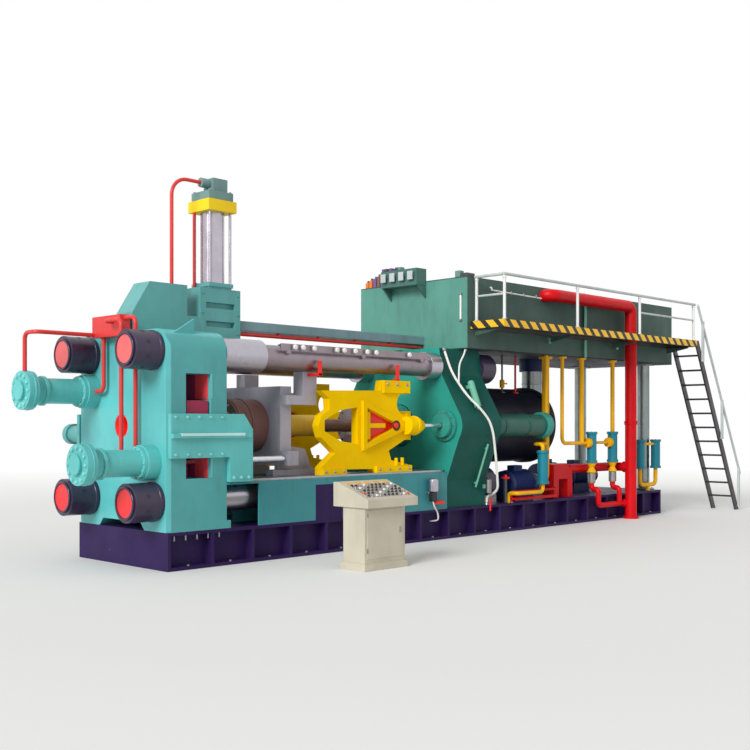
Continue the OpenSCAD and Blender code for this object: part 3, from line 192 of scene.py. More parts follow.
def paint(name, colour, rough=0.42, grime=0.30, chips=0.5, under=srgb(120, 118, 116), coat=0.0, gloss=0.4,
          flank_painted_shade=1.0):
    """Shop paint: cloudy shade, streaks that run down, small chips, edges lightened as rubbed wear and as a
    painted highlight, and a faint orange peel.

    The last argument is a painted shade for faces that look along Y: a factor on the others' colour.
    """
    g = Graph(name)
    cloud = g.span(g.noise(1.3, 5), 0.32, 0.68)
    dark, light = 0.86, 1.10
    base = g.shades(cloud, colour, dark, light)
    # Painted shade: faces that look along Y take a darker copy of the colour.
    if flank_painted_shade != 1.0:
        base = g.mix(g.across(), base, g.shades(cloud, colour, dark*flank_painted_shade, light*flank_painted_shade))
    streak = g.span(g.noise(3.2, 7, 0.6, (2.2, 2.2, 0.35)), 0.52, 0.82, 0.0, grime)
    base = g.mix(streak, base, GRIME)
    chip = g.span(g.noise(17.0, 9, 0.62), 0.685, 0.70, 0.0, chips)
    base = g.mix(chip, base, under)
    # Lighter paint along sharp edges: partly rubbed wear, partly a painted highlight.
    rubbed_and_highlight = g.math("MULTIPLY", g.edges(), g.span(g.noise(6.0, 6), 0.38, 0.62, 0.0, 0.55))
    base = g.mix(rubbed_and_highlight, base, scaled(colour, 1.55))
    peel = g.noise(110.0, 2)
    dull = g.span(g.noise(2.4, 6), 0.3, 0.7, rough - 0.08, rough + 0.13)
    g.set(Base_Color=base, Roughness=dull, Coat_Weight=coat, Coat_Roughness=0.18, Specular_IOR_Level=gloss)
    g.bump(peel, 0.10, 0.003)
    return g.material


def metal(name, colour, rough=0.30, along=(1, 1, 1), stain=0.18, scale=24.0):
    """Bare machined steel: fine lines across its length, uneven polish and light oil stains."""
    g = Graph(name)
    lines = g.noise(scale, 4, 0.6, along)
    tone = g.shades(g.span(lines, 0.35, 0.65), colour, 0.92, 1.04)
    oil = g.span(g.noise(2.1, 6), 0.52, 0.78, 0.0, stain)
    tone = g.mix(oil, tone, srgb(70, 58, 44))
    dull = g.span(g.noise(5.0, 5), 0.3, 0.7, rough - 0.07, rough + 0.12)
    g.set(Base_Color=tone, Metallic=1.0, Roughness=dull)
    g.bump(lines, 0.03, 0.001)
    return g.material


def two_part(name, axis, level, low, high, end=1e3):
    """One finish, and another one from a level to an end along an axis.

    Each finish is a colour, a metallic share and a roughness.
    """
    g = Graph(name)
    place = g.xyz(g.coords)[axis]
    part = g.math("MULTIPLY", g.math("GREATER_THAN", place, level), g.math("LESS_THAN", place, end))
    cloud = g.span(g.noise(4.0, 6), 0.3, 0.7)
    base = g.mix(part, *(g.shades(cloud, finish[0], 0.88, 1.06) for finish in (low, high)))
    stain = g.span(g.noise(2.3, 7), 0.55, 0.80, 0.0, 0.25)
    uneven = g.span(g.noise(5.0, 5), 0.3, 0.7, -0.05, 0.10)
    g.set(Base_Color=g.mix(stain, base, GRIME), Metallic=g.span(part, 0, 1, low[1], high[1]),
          Roughness=g.math("ADD", g.span(part, 0, 1, low[2], high[2]), uneven))
    g.bump(g.noise(70.0, 3), 0.04, 0.001)
    return g.material


def hazard(name, period=0.236):
    """Slanted yellow and black bands with scuffed paint."""
    g = Graph(name)
    place = g.xyz(g.coords)
    run = g.math("ADD", g.math("SUBTRACT", place["X"], place["Y"]), place["Z"])
    yellow_share = 0.58
    band = g.math("LESS_THAN", g.math("FRACT", g.math("MULTIPLY", run, 1/period)), yellow_share)
    base = g.mix(band, srgb(30, 29, 30), srgb(244, 190, 30))
    worn = g.span(g.noise(9.0, 8), 0.62, 0.72, 0.0, 0.6)
    g.set(Base_Color=g.mix(worn, base, srgb(120, 108, 84)),
          Roughness=g.span(g.noise(4.0), 0.3, 0.7, 0.38, 0.6))
    g.bump(g.noise(80.0, 2), 0.1, 0.002)
    return g.material


def tread(name, colour):
    """Walkway plate: raised lozenges set crosswise, worn bright on top."""
    g = Graph(name)
    lozenge = g.node("ShaderNodeTexChecker")
    lozenge.inputs["Scale"].default_value = 26.0
    turn = g.node("ShaderNodeMapping")
    turn.inputs["Rotation"].default_value = (0, 0, math.radians(45))
    g.link(g.coords, turn.inputs["Vector"])
    g.link(turn.outputs["Vector"], lozenge.inputs["Vector"])
    worn = g.span(g.noise(3.0, 6), 0.4, 0.7, 0.0, 0.5)
    base = g.shades(lozenge.outputs["Fac"], colour, 0.75, 1.25)
    g.set(Base_Color=g.mix(worn, base, srgb(96, 94, 90)), Roughness=g.span(g.noise(6.0), 0.3, 0.7, 0.4, 0.65),
          Metallic=0.35)
    g.bump(lozenge.outputs["Fac"], 0.35, 0.004)
    return g.material


def plastic(name, colour, rough=0.35):
    """Moulded plastic or rubber: slight mottle and a fine grain."""
    g = Graph(name)
    base = g.shades(g.span(g.noise(14.0, 4), 0.3, 0.7), colour, 0.9, 1.08)
    g.set(Base_Color=base, Roughness=g.span(g.noise(30.0), 0.3, 0.7, rough - 0.06, rough + 0.1))
    g.bump(g.noise(160.0, 2), 0.06, 0.001)
    return g.material


# TEAL, CROSS_GREEN and NAVY are darker on faces that look along Y, a painted shade.
TEAL = paint("teal_enamel", srgb(93, 190, 190), 0.36, grime=0.20, coat=0.10, flank_painted_shade=0.70)
TEAL_LIGHT = paint("teal_enamel_light", srgb(94, 190, 188), 0.36, grime=0.18, coat=0.10)
# Pale strip for the guide plate ledges, a painted highlight.
LEDGE_PAINTED_HIGHLIGHT = paint("ledge_painted_highlight", srgb(196, 234, 232), 0.40, grime=0.10)
# Darker copy of the teal for the shear bracket and column and the die slide cylinder, a painted shade.
TEAL_SHADE = paint("teal_painted_shade", srgb(92, 166, 164), 0.38, grime=0.22, coat=0.1)
# Paler teal for painted bolt heads, a painted highlight.
TEAL_BOLT_HIGHLIGHT = paint("teal_bolt_highlight", srgb(128, 208, 204), 0.36, grime=0.15)
TEAL_GREY = paint("teal_grey_enamel", srgb(112, 146, 144), 0.42, grime=0.4)
VALVE_TEAL = paint("valve_enamel", srgb(14, 126, 146), 0.36, grime=0.15)
GREEN = paint("green_enamel", srgb(38, 144, 130), 0.36, grime=0.25, coat=0.08)
CROSS_GREEN = paint("crosshead_enamel", srgb(46, 152, 138), 0.44, grime=0.12, gloss=0.12, flank_painted_shade=0.29)
LIGHT_GREEN = paint("light_green_enamel", srgb(112, 186, 160), 0.40)
BED_GREEN = paint("bed_enamel", srgb(56, 138, 144), 0.40, grime=0.45)
DEEP_GREEN = paint("deep_green_enamel", srgb(20, 84, 72), 0.40)
MAIN_DARK = paint("main_cylinder_enamel", srgb(28, 33, 50), 0.42, grime=0.25, gloss=0.2)
# Tank ends lighter than the walls: painted light on the one tank paint.
TANK_END_PAINTED_LIGHT = paint("tank_end_painted_light", srgb(90, 150, 136), 0.46, grime=0.30, gloss=0.3)
BANK_GREEN = paint("valve_bank_enamel", srgb(70, 112, 104), 0.46, grime=0.40)
# Tank walls and lid darker than the ends: painted shade on the one tank paint.
TANK = paint("tank_painted_shade", srgb(68, 94, 86), 0.50, grime=0.40, gloss=0.3)
# Darker paint on the tank's underside, a painted shade.
TANK_SHADE = paint("tank_floor_painted_shade", srgb(46, 48, 58), 0.55, grime=0.30, gloss=0.2)
NAVY = paint("navy_enamel", srgb(46, 28, 78), 0.44, grime=0.25, gloss=0.15, flank_painted_shade=0.98)
BEAM_GREY = paint("beam_enamel", srgb(126, 156, 162), 0.44, grime=0.25, gloss=0.2)
BLACK = paint("black_enamel", srgb(54, 42, 68), 0.34, grime=0.20, coat=0.2)
RED = paint("red_enamel", srgb(224, 54, 52), 0.36, grime=0.18, coat=0.1)
PIPE_RED = paint("pipe_red_enamel", srgb(210, 8, 20), 0.38, grime=0.12, gloss=0.2)
BRIGHT_RED = paint("bright_red_enamel", srgb(250, 26, 22), 0.34, grime=0.12, coat=0.2)
# Maroon for the windows' inner lining and the die slide seat at their back, a painted shade.
MAROON = paint("maroon_enamel", srgb(172, 58, 112), 0.46, grime=0.12)
DARK_MAROON = paint("dark_maroon_enamel", srgb(158, 32, 70), 0.46, grime=0.2)
# Lighter red for the windows' outer lining, painted light inside the windows' shade.
LINING_PAINTED_LIGHT = paint("lining_painted_light", srgb(255, 84, 92), 0.42, grime=0.06, gloss=0.3)
YELLOW = paint("yellow_enamel", srgb(255, 202, 0), 0.50, grime=0.05, chips=0.25, gloss=0.04)
BAND_YELLOW = paint("band_enamel", srgb(255, 214, 40), 0.44, grime=0.05, gloss=0.15)
PIPE_YELLOW = paint("pipe_yellow_enamel", srgb(246, 182, 8), 0.42, grime=0.25, gloss=0.25)
BLUE = paint("blue_enamel", srgb(20, 38, 88), 0.40, grime=0.25, gloss=0.3)
GREY = paint("grey_enamel", srgb(140, 142, 144), 0.46)
HOLDER = paint("holder_enamel", srgb(172, 168, 180), 0.46)
RAIL = paint("rail_enamel", srgb(190, 198, 196), 0.42, grime=0.25)
WHITE = paint("white_enamel", srgb(226, 228, 226), 0.44, grime=0.25)
BEIGE = paint("beige_enamel", srgb(202, 194, 174), 0.46, grime=0.16, chips=0.3)
GOLD = paint("gold_block", srgb(248, 202, 76), 0.44, grime=0.15)
BROWN = paint("scaled_brown", srgb(132, 92, 86), 0.62, grime=0.5, under=srgb(140, 80, 44))
ALONG_X, ALONG_Z = (6, 0.4, 0.4), (0.4, 0.4, 6)
MAUVE = metal("oiled_steel", srgb(158, 146, 152), 0.40, ALONG_X, stain=0.35)
IRON = metal("dark_iron", srgb(92, 90, 94), 0.46, stain=0.4, scale=18.0)
STEEL = metal("ground_steel", srgb(172, 174, 178), 0.30, ALONG_X)
BRIGHT = metal("turned_steel", srgb(186, 182, 192), 0.28, ALONG_X, stain=0.12)
COLUMN = metal("column_steel", srgb(142, 152, 152), 0.32, ALONG_Z, stain=0.2)
CHROME = metal("hard_chrome", srgb(214, 216, 222), 0.16, ALONG_X, stain=0.05)
ZINC = metal("zinc_bolt", srgb(158, 158, 160), 0.38, stain=0.25, scale=60.0)
BARREL = two_part("shear_barrel", "Z", SHEAR_TOP + 0.072, (srgb(92, 166, 164), 0.0, 0.42),
                  (srgb(190, 184, 194), 1.0, 0.24))
CAPS = two_part("nut_cap_enamel", "Z", AXIS, (srgb(255, 46, 52), 0.0, 0.44), (srgb(232, 104, 104), 0.0, 0.50))
STEM = two_part("stem_steel", "X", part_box("stem_assembly")[1][0] - 0.122, (srgb(140, 108, 98), 0.25, 0.42),
                (srgb(166, 162, 172), 0.7, 0.42))
# Darker green on the barrel behind the crosshead's front, a painted shade; the ends keep the lighter green.
SIDE_GREEN = two_part("side_cylinder_enamel_and_shade", "X", CYL_FRONT + 0.100,
                      (srgb(44, 148, 134), 0.0, 0.40), (srgb(22, 88, 76), 0.0, 0.40),
                      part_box("side_cylinders")[1][0] - 0.130)
HAZARD = hazard("hazard_bands")
TREAD = tread("tread_plate", srgb(62, 62, 58))
RUBBER = plastic("black_plastic", srgb(32, 32, 34), 0.45)
IVORY = plastic("ivory_plastic", srgb(240, 238, 232))
AMBER = plastic("amber_plastic", srgb(226, 178, 92))
ORANGE = plastic("orange_plastic", srgb(232, 128, 40))
PURPLE = plastic("purple_plastic", srgb(112, 84, 140))

LOOKS = {
    "base_frame": NAVY, "service_panels": NAVY, "machine_bed": BED_GREEN, "slide_ways": STEEL,
    "front_platen": TEAL, "die_slide": DARK_MAROON, "die_slide_seat": MAROON, "die_stack": IRON,
    "die_guide_plates": TEAL_LIGHT, "die_slide_cylinder": TEAL_SHADE, "tie_rods": MAUVE,
    "tie_rod_collars": BRIGHT, "tie_rod_nuts": BLACK, "nut_discs": CAPS, "container_cylinders": TEAL_LIGHT,
    "front_manifold": RED, "hydraulic_pipes": RED, "shear_bracket": TEAL_SHADE, "shear_column": TEAL_SHADE,
    "shear_cylinder": BARREL, "shear_band": BAND_YELLOW, "shear_head": TEAL_GREY,
    "overhead_beam": BEAM_GREY, "switch_rail": MAUVE, "cylinder_crosshead": CROSS_GREEN,
    "main_cylinder": MAIN_DARK, "side_cylinders": SIDE_GREEN, "prefill_valve": COLUMN,
    "prefill_elbow": GREEN, "tank_floor": TANK_SHADE, "tank_walls": TANK, "tank_ends": TANK_END_PAINTED_LIGHT,
    "tank_lid": TANK, "tank_valve_bank": BANK_GREEN, "tank_columns": COLUMN, "conduit": WHITE,
    "walkway_deck": TREAD, "guard_posts": WHITE, "guard_rails": RAIL, "ladder": IRON,
    "ladder_handrail": RAIL, "pump_motors": BLUE, "oil_pumps": IRON, "check_valves": VALVE_TEAL,
    "valve_couplings": PIPE_YELLOW, "suction_pipes": PIPE_YELLOW, "header_pipe": PIPE_RED,
    "return_pipe": PIPE_RED, "filter_unit": PIPE_RED, "console_cabinet": BEIGE, "console_panel": BEIGE,
    "container_body": BROWN, "container_liner": GOLD, "container_holder": HOLDER, "container_rods": CHROME,
    "crosshead_frame": YELLOW, "crosshead_webs": BRIGHT_RED, "stem_assembly": STEM, "dummy_block": GOLD,
    "rams": CHROME,
}
for name, look in LOOKS.items():
    mesh = nodes[name].data
    mesh.materials.clear()
    mesh.materials.append(look)


# Pieces

SHARP = math.radians(32)


def steps(first, last, count):
    """Evenly spaced numbers from the first to the last."""
    return [first + (last - first)*i/(count - 1) for i in range(count)]


def square_to(axis):
    """Two directions square to an axis and to each other."""
    side = axis.cross(Z if abs(axis.z) < 0.9 else X).normalized()
    return side, axis.cross(side)


class Piece:
    """One mesh that rides on a CAD body, put together from turned, boxed and swept forms."""

    def __init__(self, name, body, look, slot):
        self.name, self.body, self.slot = name, body, slot
        self.looks = [look]
        self.bm = bmesh.new()

    def index(self, look):
        """Place of a look among the piece's materials; no look means the piece's own."""
        if look is None:
            return 0
        if look not in self.looks:
            self.looks.append(look)
        return self.looks.index(look)

    def face(self, verts, look=None):
        f = self.bm.faces.new(verts)
        f.material_index = self.index(look)
        f.smooth = True

    def box(self, low, high, chamfer=0.004, look=None, turn=None):
        """Box with chamfered edges, turned about its middle if asked."""
        low, high = Vector(low), Vector(high)
        mid, half = (low + high)/2, (high - low)/2
        c = min(chamfer, 0.45*min(half))
        corners = list(product(BOTH, repeat=3))
        verts = {}
        for s in corners:
            for axis in range(3):
                p = Vector([s[i]*(half[i] - (0 if i == axis else c)) for i in range(3)])
                verts[s, axis] = self.bm.verts.new(mid + (turn @ p if turn else p))
        for axis in range(3):
            a, b = (axis + 1) % 3, (axis + 2) % 3

            def corner(along, sa, sb):
                return tuple({axis: along, a: sa, b: sb}[i] for i in range(3))
            for sign in BOTH:
                self.face([verts[corner(sign, sa, sb), axis]
                           for sa, sb in ((-1, -1), (1, -1), (1, 1), (-1, 1))], look)
            for sa, sb in product(BOTH, repeat=2):
                start, end = corner(-1, sa, sb), corner(1, sa, sb)
                self.face([verts[start, a], verts[end, a], verts[end, b], verts[start, b]], look)
        for s in corners:
            self.face([verts[s, axis] for axis in range(3)], look)

    def lathe(self, at, axis, profile, sides=24, look=None, spin=0.0):
        """Turns a profile of (radius, height) pairs round an axis that starts at a point."""
        at, axis = Vector(at), Vector(axis).normalized()
        side, other = square_to(axis)
        rings = []
        for r, h in profile:
            if r < 1e-6:
                rings.append([self.bm.verts.new(at + axis*h)])
                continue
            ring = []
            for i in range(sides):
                angle = spin + math.tau*i/sides
                ring.append(self.bm.verts.new(at + axis*h + (side*math.cos(angle) + other*math.sin(angle))*r))
            rings.append(ring)
        for low, high in zip(rings, rings[1:]):
            for i in range(sides):
                j = (i + 1) % sides
                if len(low) == 1 and len(high) == 1:
                    break
                if len(low) == 1:
                    self.face([low[0], high[i], high[j]], look)
                elif len(high) == 1:
                    self.face([low[j], low[i], high[0]], look)
                else:
                    self.face([low[i], low[j], high[j], high[i]], look)
        if len(rings[0]) > 1 and profile[0] != profile[-1]:
            self.face(rings[0][::-1], look)
        if len(rings[-1]) > 1 and profile[0] != profile[-1]:
            self.face(rings[-1], look)
        if profile[0] == profile[-1]:
            bmesh.ops.remove_doubles(self.bm, verts=rings[0] + rings[-1], dist=1e-6)

    def rod(self, p1, p2, d, sides=20, chamfer=0.004, look=None):
        """Round bar with chamfered ends."""
        p1, p2 = Vector(p1), Vector(p2)
        length = (p2 - p1).length
        c = min(chamfer, 0.3*length, 0.3*d)
        self.lathe(p1, p2 - p1, [(d/2 - c, 0), (d/2, c), (d/2, length - c), (d/2 - c, length)], sides, look)

    def ring(self, p1, p2, outer, inner, sides=32, chamfer=0.004, look=None):
        """Collar between two points, from an inner to an outer diameter."""
        p1, p2 = Vector(p1), Vector(p2)
        length = (p2 - p1).length
        c, a, b = chamfer, outer/2, inner/2
        profile = [(b, 0), (a - c, 0), (a, c), (a, length - c), (a - c, length), (b, length), (b, 0)]
        self.lathe(p1, p2 - p1, profile, sides, look)

    def bolt(self, at, axis, d, look=None):
        """Hexagon head on a washer."""
        self.lathe(at, axis, [(1.15*d, 0), (1.15*d, 0.16*d), (0.9*d, 0.18*d)], 16, look)
        self.lathe(Vector(at) + Vector(axis).normalized()*0.15*d, axis,
                   [(0.92*d, 0), (0.92*d, 0.55*d), (0.78*d, 0.68*d)], 6, look, 0.3)

    def bolts_round(self, centre, axis, circle, count, d, look=None, phase=0.0):
        """Bolts spread over a circle of a given diameter."""
        axis = Vector(axis).normalized()
        side, other = square_to(axis)
        for i in range(count):
            angle = phase + math.tau*i/count
            self.bolt(Vector(centre) + (side*math.cos(angle) + other*math.sin(angle))*circle/2, axis, d, look)

    def tube(self, path, d, bend=0.06, sides=10, look=None):
        """Round tube along a path of corners, each rounded by a bend."""
        path = [Vector(p) for p in path]
        line = [path[0]]
        for before, corner, after in zip(path, path[1:], path[2:]):
            a, b = before - corner, after - corner
            r = min(bend, 0.45*a.length, 0.45*b.length)
            p, q = corner + a.normalized()*r, corner + b.normalized()*r
            for t in steps(0, 1, 6):
                line.append(p*(1 - t)**2 + corner*2*t*(1 - t) + q*t*t)
        line.append(path[-1])
        rings, side = [], None
        for i, p in enumerate(line):
            ahead = (line[min(i + 1, len(line) - 1)] - line[max(i - 1, 0)]).normalized()
            if side is None:
                side = square_to(ahead)[0]
            side = (side - ahead*side.dot(ahead)).normalized()
            other = ahead.cross(side)
            angles = [math.tau*k/sides for k in range(sides)]
            rings.append([self.bm.verts.new(p + (side*math.cos(a) + other*math.sin(a))*d/2) for a in angles])
        for low, high in zip(rings, rings[1:]):
            for k in range(sides):
                j = (k + 1) % sides
                self.face([low[k], low[j], high[j], high[k]], look)
        self.face(rings[0][::-1], look)
        self.face(rings[-1], look)

    def plate(self, outline, axis, low, high, look=None):
        """Flat plate: an outline in the two other axes, from low to high along an axis."""
        def point(u, v, w):
            return {"x": (w, u, v), "y": (u, w, v), "z": (u, v, w)}[axis]
        a = [self.bm.verts.new(point(u, v, low)) for u, v in outline]
        b = [self.bm.verts.new(point(u, v, high)) for u, v in outline]
        self.face(a, look)
        self.face(b[::-1], look)
        for i in range(len(a)):
            j = (i + 1) % len(a)
            self.face([a[i], a[j], b[j], b[i]], look)

    def done(self):
        """Makes the object, with its materials and body."""
        bmesh.ops.recalc_face_normals(self.bm, faces=self.bm.faces)
        mesh = bpy.data.meshes.new(self.name)
        self.bm.to_mesh(mesh)
        self.bm.free()
        mesh.set_sharp_from_angle(angle=SHARP)
        for look in self.looks:
            mesh.materials.append(look)
        obj = bpy.data.objects.new(self.name, mesh)
        bpy.context.scene.collection.objects.link(obj)
        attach(obj, self.body)
        return obj


# Platen: bolts of its guide plates and feet, ledges on the plates with a pale painted highlight, studs in the
# base
# The bolts are a paler teal, a painted highlight.
p = Piece("guide_plate_bolts", "frame", TEAL_BOLT_HIGHLIGHT, "teal_paint")
for side in BOTH:
    for z in (AXIS - 0.320, AXIS + 0.100):
        for x in steps(FRONT + 0.06, FRONT + 0.70, 5):
            p.bolt((x, side*GUIDE_OUT, z), (0, side, 0), 0.018)
    for x in steps(REAR + 0.06, REAR + 0.28, 3):
        p.bolt((x, side*GUIDE_OUT, AXIS - 0.600), (0, side, 0), 0.022)
    for y in (0.56, 0.86):
        p.bolt((REAR + 0.032, side*y, BASE_TOP + 0.090), Z, 0.020)
    y1, y2 = sorted((side*(GUIDE_OUT + 0.001), side*(GUIDE_OUT + 0.050)))
    # Pale strip along each ledge: a painted highlight.
    p.box((FRONT + 0.110, y1, AXIS - 0.112), (FRONT + 1.000, y2, AXIS - 0.080), 0.002, LEDGE_PAINTED_HIGHLIGHT)
    for x in steps(FRONT + 0.10, FRONT + 0.72, 5):
        y = side*(HALF_W - 0.030)
        p.rod((x, y, 0.330), (x, y, 0.392), 0.022, 12, 0.003, ZINC)
p.done()

# Container cylinders: bolts of the foot flange and the head, then rings
# The bolts are a paler teal, a painted highlight.
p = Piece("container_cylinder_bolts", "frame", TEAL_BOLT_HIGHLIGHT, "teal_paint")
for side in BOTH:
    y, z = side*SHIFT_Y, AXIS + side*SHIFT_Z
    p.bolts_round((FRONT - 0.210, y, z), -X, 0.336, 12, 0.014)
    p.bolts_round((FRONT - 0.930, y, z), -X, 0.366, 12, 0.024)
p.done()

p = Piece("container_cylinder_rings", "frame", TEAL_LIGHT, "teal_paint")
for side in BOTH:
    y, z = side*SHIFT_Y, AXIS + side*SHIFT_Z
    p.ring((FRONT - 0.690, y, z), (FRONT - 0.650, y, z), 0.350, 0.296, 40)
    p.ring((FRONT - 0.860, y, z), (FRONT - 0.840, y, z), 0.462, 0.446, 48, 0.003)
    p.ring((FRONT - 0.968, y, z), (FRONT - 0.955, y, z), 0.232, 0.218, 40, 0.003)
p.done()

# Rims of the front tie rod nuts, and black discs as painted shade of their spanner holes
p = Piece("nut_rims", "frame", BLACK, "black_paint")
for side in BOTH:
    for level in BOTH:
        y, z = side*TIE_Y, AXIS + level*TIE_Z
        p.ring((FRONT - 0.394, y, z), (FRONT - 0.368, y, z), 0.372, 0.324, 48, 0.006)
        p.ring((FRONT - 0.060, y, z), (FRONT - 0.030, y, z), 0.456, 0.436, 48, 0.006)
        for i in range(8):
            angle = math.tau*(i + 0.5)/8
            out = Vector((0, math.cos(angle), math.sin(angle)))
            # Each spanner hole is a flat black disc, a painted shade.
            hole_shade = Vector((FRONT - 0.210, y, z)) + out*0.2185
            p.lathe(hole_shade, out, [(0.024, 0), (0.024, 0.003), (0.0, 0.003)], 16, RUBBER)
p.done()

# Red lining of the exit hole
p = Piece("exit_lining", "frame", BRIGHT_RED, "red_paint")
p.lathe((FRONT + 0.003, 0, AXIS), X,
        [(0.139, 0), (0.139, 0.150), (0.062, 0.150), (0.062, 0.120), (0.128, 0.0), (0.139, 0)], 48)
p.done()

# Lining of the platen's windows, a lighter red outside as painted light and a maroon inside as painted shade,
# with a rim behind each
p = Piece("window_lining", "frame", LINING_PAINTED_LIGHT, "red_paint")
win_low, win_high = FRONT + 0.240, FRONT + 0.580
for side in BOTH:
    outer, inner = sorted((side*0.660, side*0.905)), sorted((side*0.350, side*0.660))
    f1, f2 = sorted((side*(HALF_W - 0.004), side*(HALF_W + 0.003)))
    for z1, z2 in ((AXIS - 0.593, AXIS - 0.310), (AXIS + 0.310, AXIS + 0.593)):
        for (y1, y2), look in ((outer, LINING_PAINTED_LIGHT), (inner, MAROON)):
            p.box((win_high - 0.010, y1, z1), (win_high - 0.0005, y2, z2), 0.002, look)
            p.box((win_low + 0.0005, y1, z1), (win_low + 0.010, y2, z2), 0.002, look)
        p.box((win_high, f1, z1), (win_high + 0.026, f2, z2), 0.002, TEAL_LIGHT)
p.done()

# Bolts along the base's lower flange
p = Piece("anchor_bolts", "frame", ZINC, "bright_steel")
for x in steps(FRONT + 0.30, -FRONT - 0.30, 18):
    for side in BOTH:
        p.bolt((x, side*(HALF_W - 0.045), 0.040), Z, 0.018)
p.done()

# Bolts of the tank columns' feet
p = Piece("column_bolts", "frame", ZINC, "bright_steel")
column_low, column_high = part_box("tank_columns")
for x in (column_low[0] + 0.030, column_high[0] - 0.030):
    for y in (column_low[1] + 0.030, column_low[1] + 0.250, column_high[1] - 0.250, column_high[1] - 0.030):
        p.bolt((x, y, BASE_TOP + 0.030), Z, 0.014)
p.done()

# Shear: bolts of its column and foot, nuts of its four rods
mid_x = (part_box("shear_cylinder")[0][0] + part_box("shear_cylinder")[1][0])/2
rod_at = 0.157
head_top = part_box("shear_head")[0][2] + 0.110
p = Piece("shear_fasteners", "frame", ZINC, "bright_steel")
for i in BOTH:
    for j in BOTH:
        p.bolt((mid_x + i*rod_at, j*rod_at, head_top), Z, 0.022)
        p.bolt((mid_x + i*rod_at, j*rod_at, SHEAR_TOP + 0.070), Z, 0.020)
    for y in steps(-0.10, 0.10, 3):
        p.bolt((mid_x + i*0.165, y, SHEAR_TOP + 0.070), Z, 0.016)
for z in (PLATEN_TOP + 0.06, PLATEN_TOP + 0.30, PLATEN_TOP + 0.54):
    for x in (mid_x - 0.27, mid_x + 0.27):
        p.bolt((x, -0.170, z), -Y, 0.014, TEAL_SHADE)
        p.bolt((x, 0.170, z), Y, 0.014, TEAL_SHADE)
p.done()

# Switch heads on their rail, and the dogs that trip them, each on the body that moves it
rail_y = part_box("switch_rail")[0][1]
rail_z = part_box("switch_rail")[1][2]
SWITCH_X = (-3.44, -3.31, -3.12, -2.73, -2.60, -2.40, -2.18, -2.01, -1.36)
p = Piece("switch_heads", "frame", IVORY, "white_paint")
for x in SWITCH_X:
    p.box((x - 0.026, rail_y - 0.028, rail_z - 0.075), (x + 0.026, rail_y, rail_z - 0.005), 0.005, GREY)
    p.lathe((x, rail_y - 0.028, rail_z - 0.040), -Y,
            [(0.032, 0), (0.034, 0.010), (0.026, 0.024), (0.0, 0.027)], 20)
p.done()

p = Piece("container_dog", "container", BRIGHT_RED, "red_paint")
p.box((-3.050, -0.885, 2.245), (-2.970, -0.620, 2.283), 0.004)
p.box((-3.040, -0.885, 2.250), (-2.980, -0.862, 2.440), 0.004)
p.bolt((-3.010, -0.640, 2.283), Z, 0.010, ZINC)
p.done()

p = Piece("crosshead_dog", "crosshead", BRIGHT_RED, "red_paint")
p.box((-1.640, -0.897, 2.2255), (-1.540, -0.840, 2.250), 0.004)
p.box((-1.620, -0.897, 2.230), (-1.560, -0.872, 2.440), 0.004)
p.bolt((-1.590, -0.855, 2.250), Z, 0.009, ZINC)
p.done()

# Container: bands round the body and bolts on its front
p = Piece("container_bands", "container", BROWN, "brown_steel")
for x in (body_low[0] + 0.030, body_low[0] + 0.230):
    p.ring((x, 0, AXIS), (x + 0.070, 0, AXIS), 0.700, 0.678, 64, 0.003)
p.bolts_round((body_low[0], 0, AXIS), -X, 0.590, 12, 0.018, ZINC)
p.done()

# Crosshead: stem plate bolts, a red pin in a black ring of painted shade on each web, lug bolts and pegs
stem_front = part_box("stem_assembly")[1][0] - 0.090
p = Piece("stem_plate_bolts", "crosshead", ZINC, "bright_steel")
p.bolts_round((stem_front, 0, AXIS), -X, 0.530, 16, 0.018)
p.ring((stem_front - 0.030, 0, AXIS), (stem_front + 0.001, 0, AXIS), 0.290, 0.178, 48, 0.006, STEEL)
p.done()

EYE_X, PIN_X, FACE_Y = -1.630, -1.648, 0.899
p = Piece("web_eyes", "crosshead", RUBBER, "black_paint")
for side in BOTH:
    # The black ring stands for the shade of the eye round the pin: painted shade.
    p.lathe((EYE_X, side*FACE_Y, AXIS), Y*side,
            [(0.070, 0), (0.070, 0.010), (0.064, 0.014), (0.030, 0.014), (0.030, 0.010), (0.0, 0.010)], 36)
    p.lathe((PIN_X, side*FACE_Y, AXIS), Y*side,
            [(0.040, 0.008), (0.040, 0.024), (0.030, 0.034), (0.0, 0.036)], 28, BRIGHT_RED)
p.done()

p = Piece("crosshead_fasteners", "crosshead", YELLOW, "yellow_paint")
for side in BOTH:
    out = Vector((0, side, 0))
    face = side*0.900
    for x in steps(CROSS + 0.45, CROSS + 0.84, 3):
        p.bolt((x, face, AXIS + 0.560), out, 0.018, ZINC)
    for x in steps(CROSS + 0.31, CROSS + 0.88, 4):
        p.bolt((x, face, AXIS - 0.585), out, 0.016, ZINC)
    for x in steps(CROSS - 0.67, CROSS - 0.36, 3):
        p.bolt((x, face, AXIS - 0.590), out, 0.016, ZINC)
    for dx in (0.66, 0.78):
        p.rod((CROSS + dx, side*0.860, AXIS - 0.545), (CROSS + dx, side*0.860, AXIS - 0.440), 0.050, 16)
    p.ring((CROSS + 0.93, side*SIDE_Y, AXIS), (CROSS + 0.97, side*SIDE_Y, AXIS), 0.268, 0.246, 40, 0.004)
p.done()

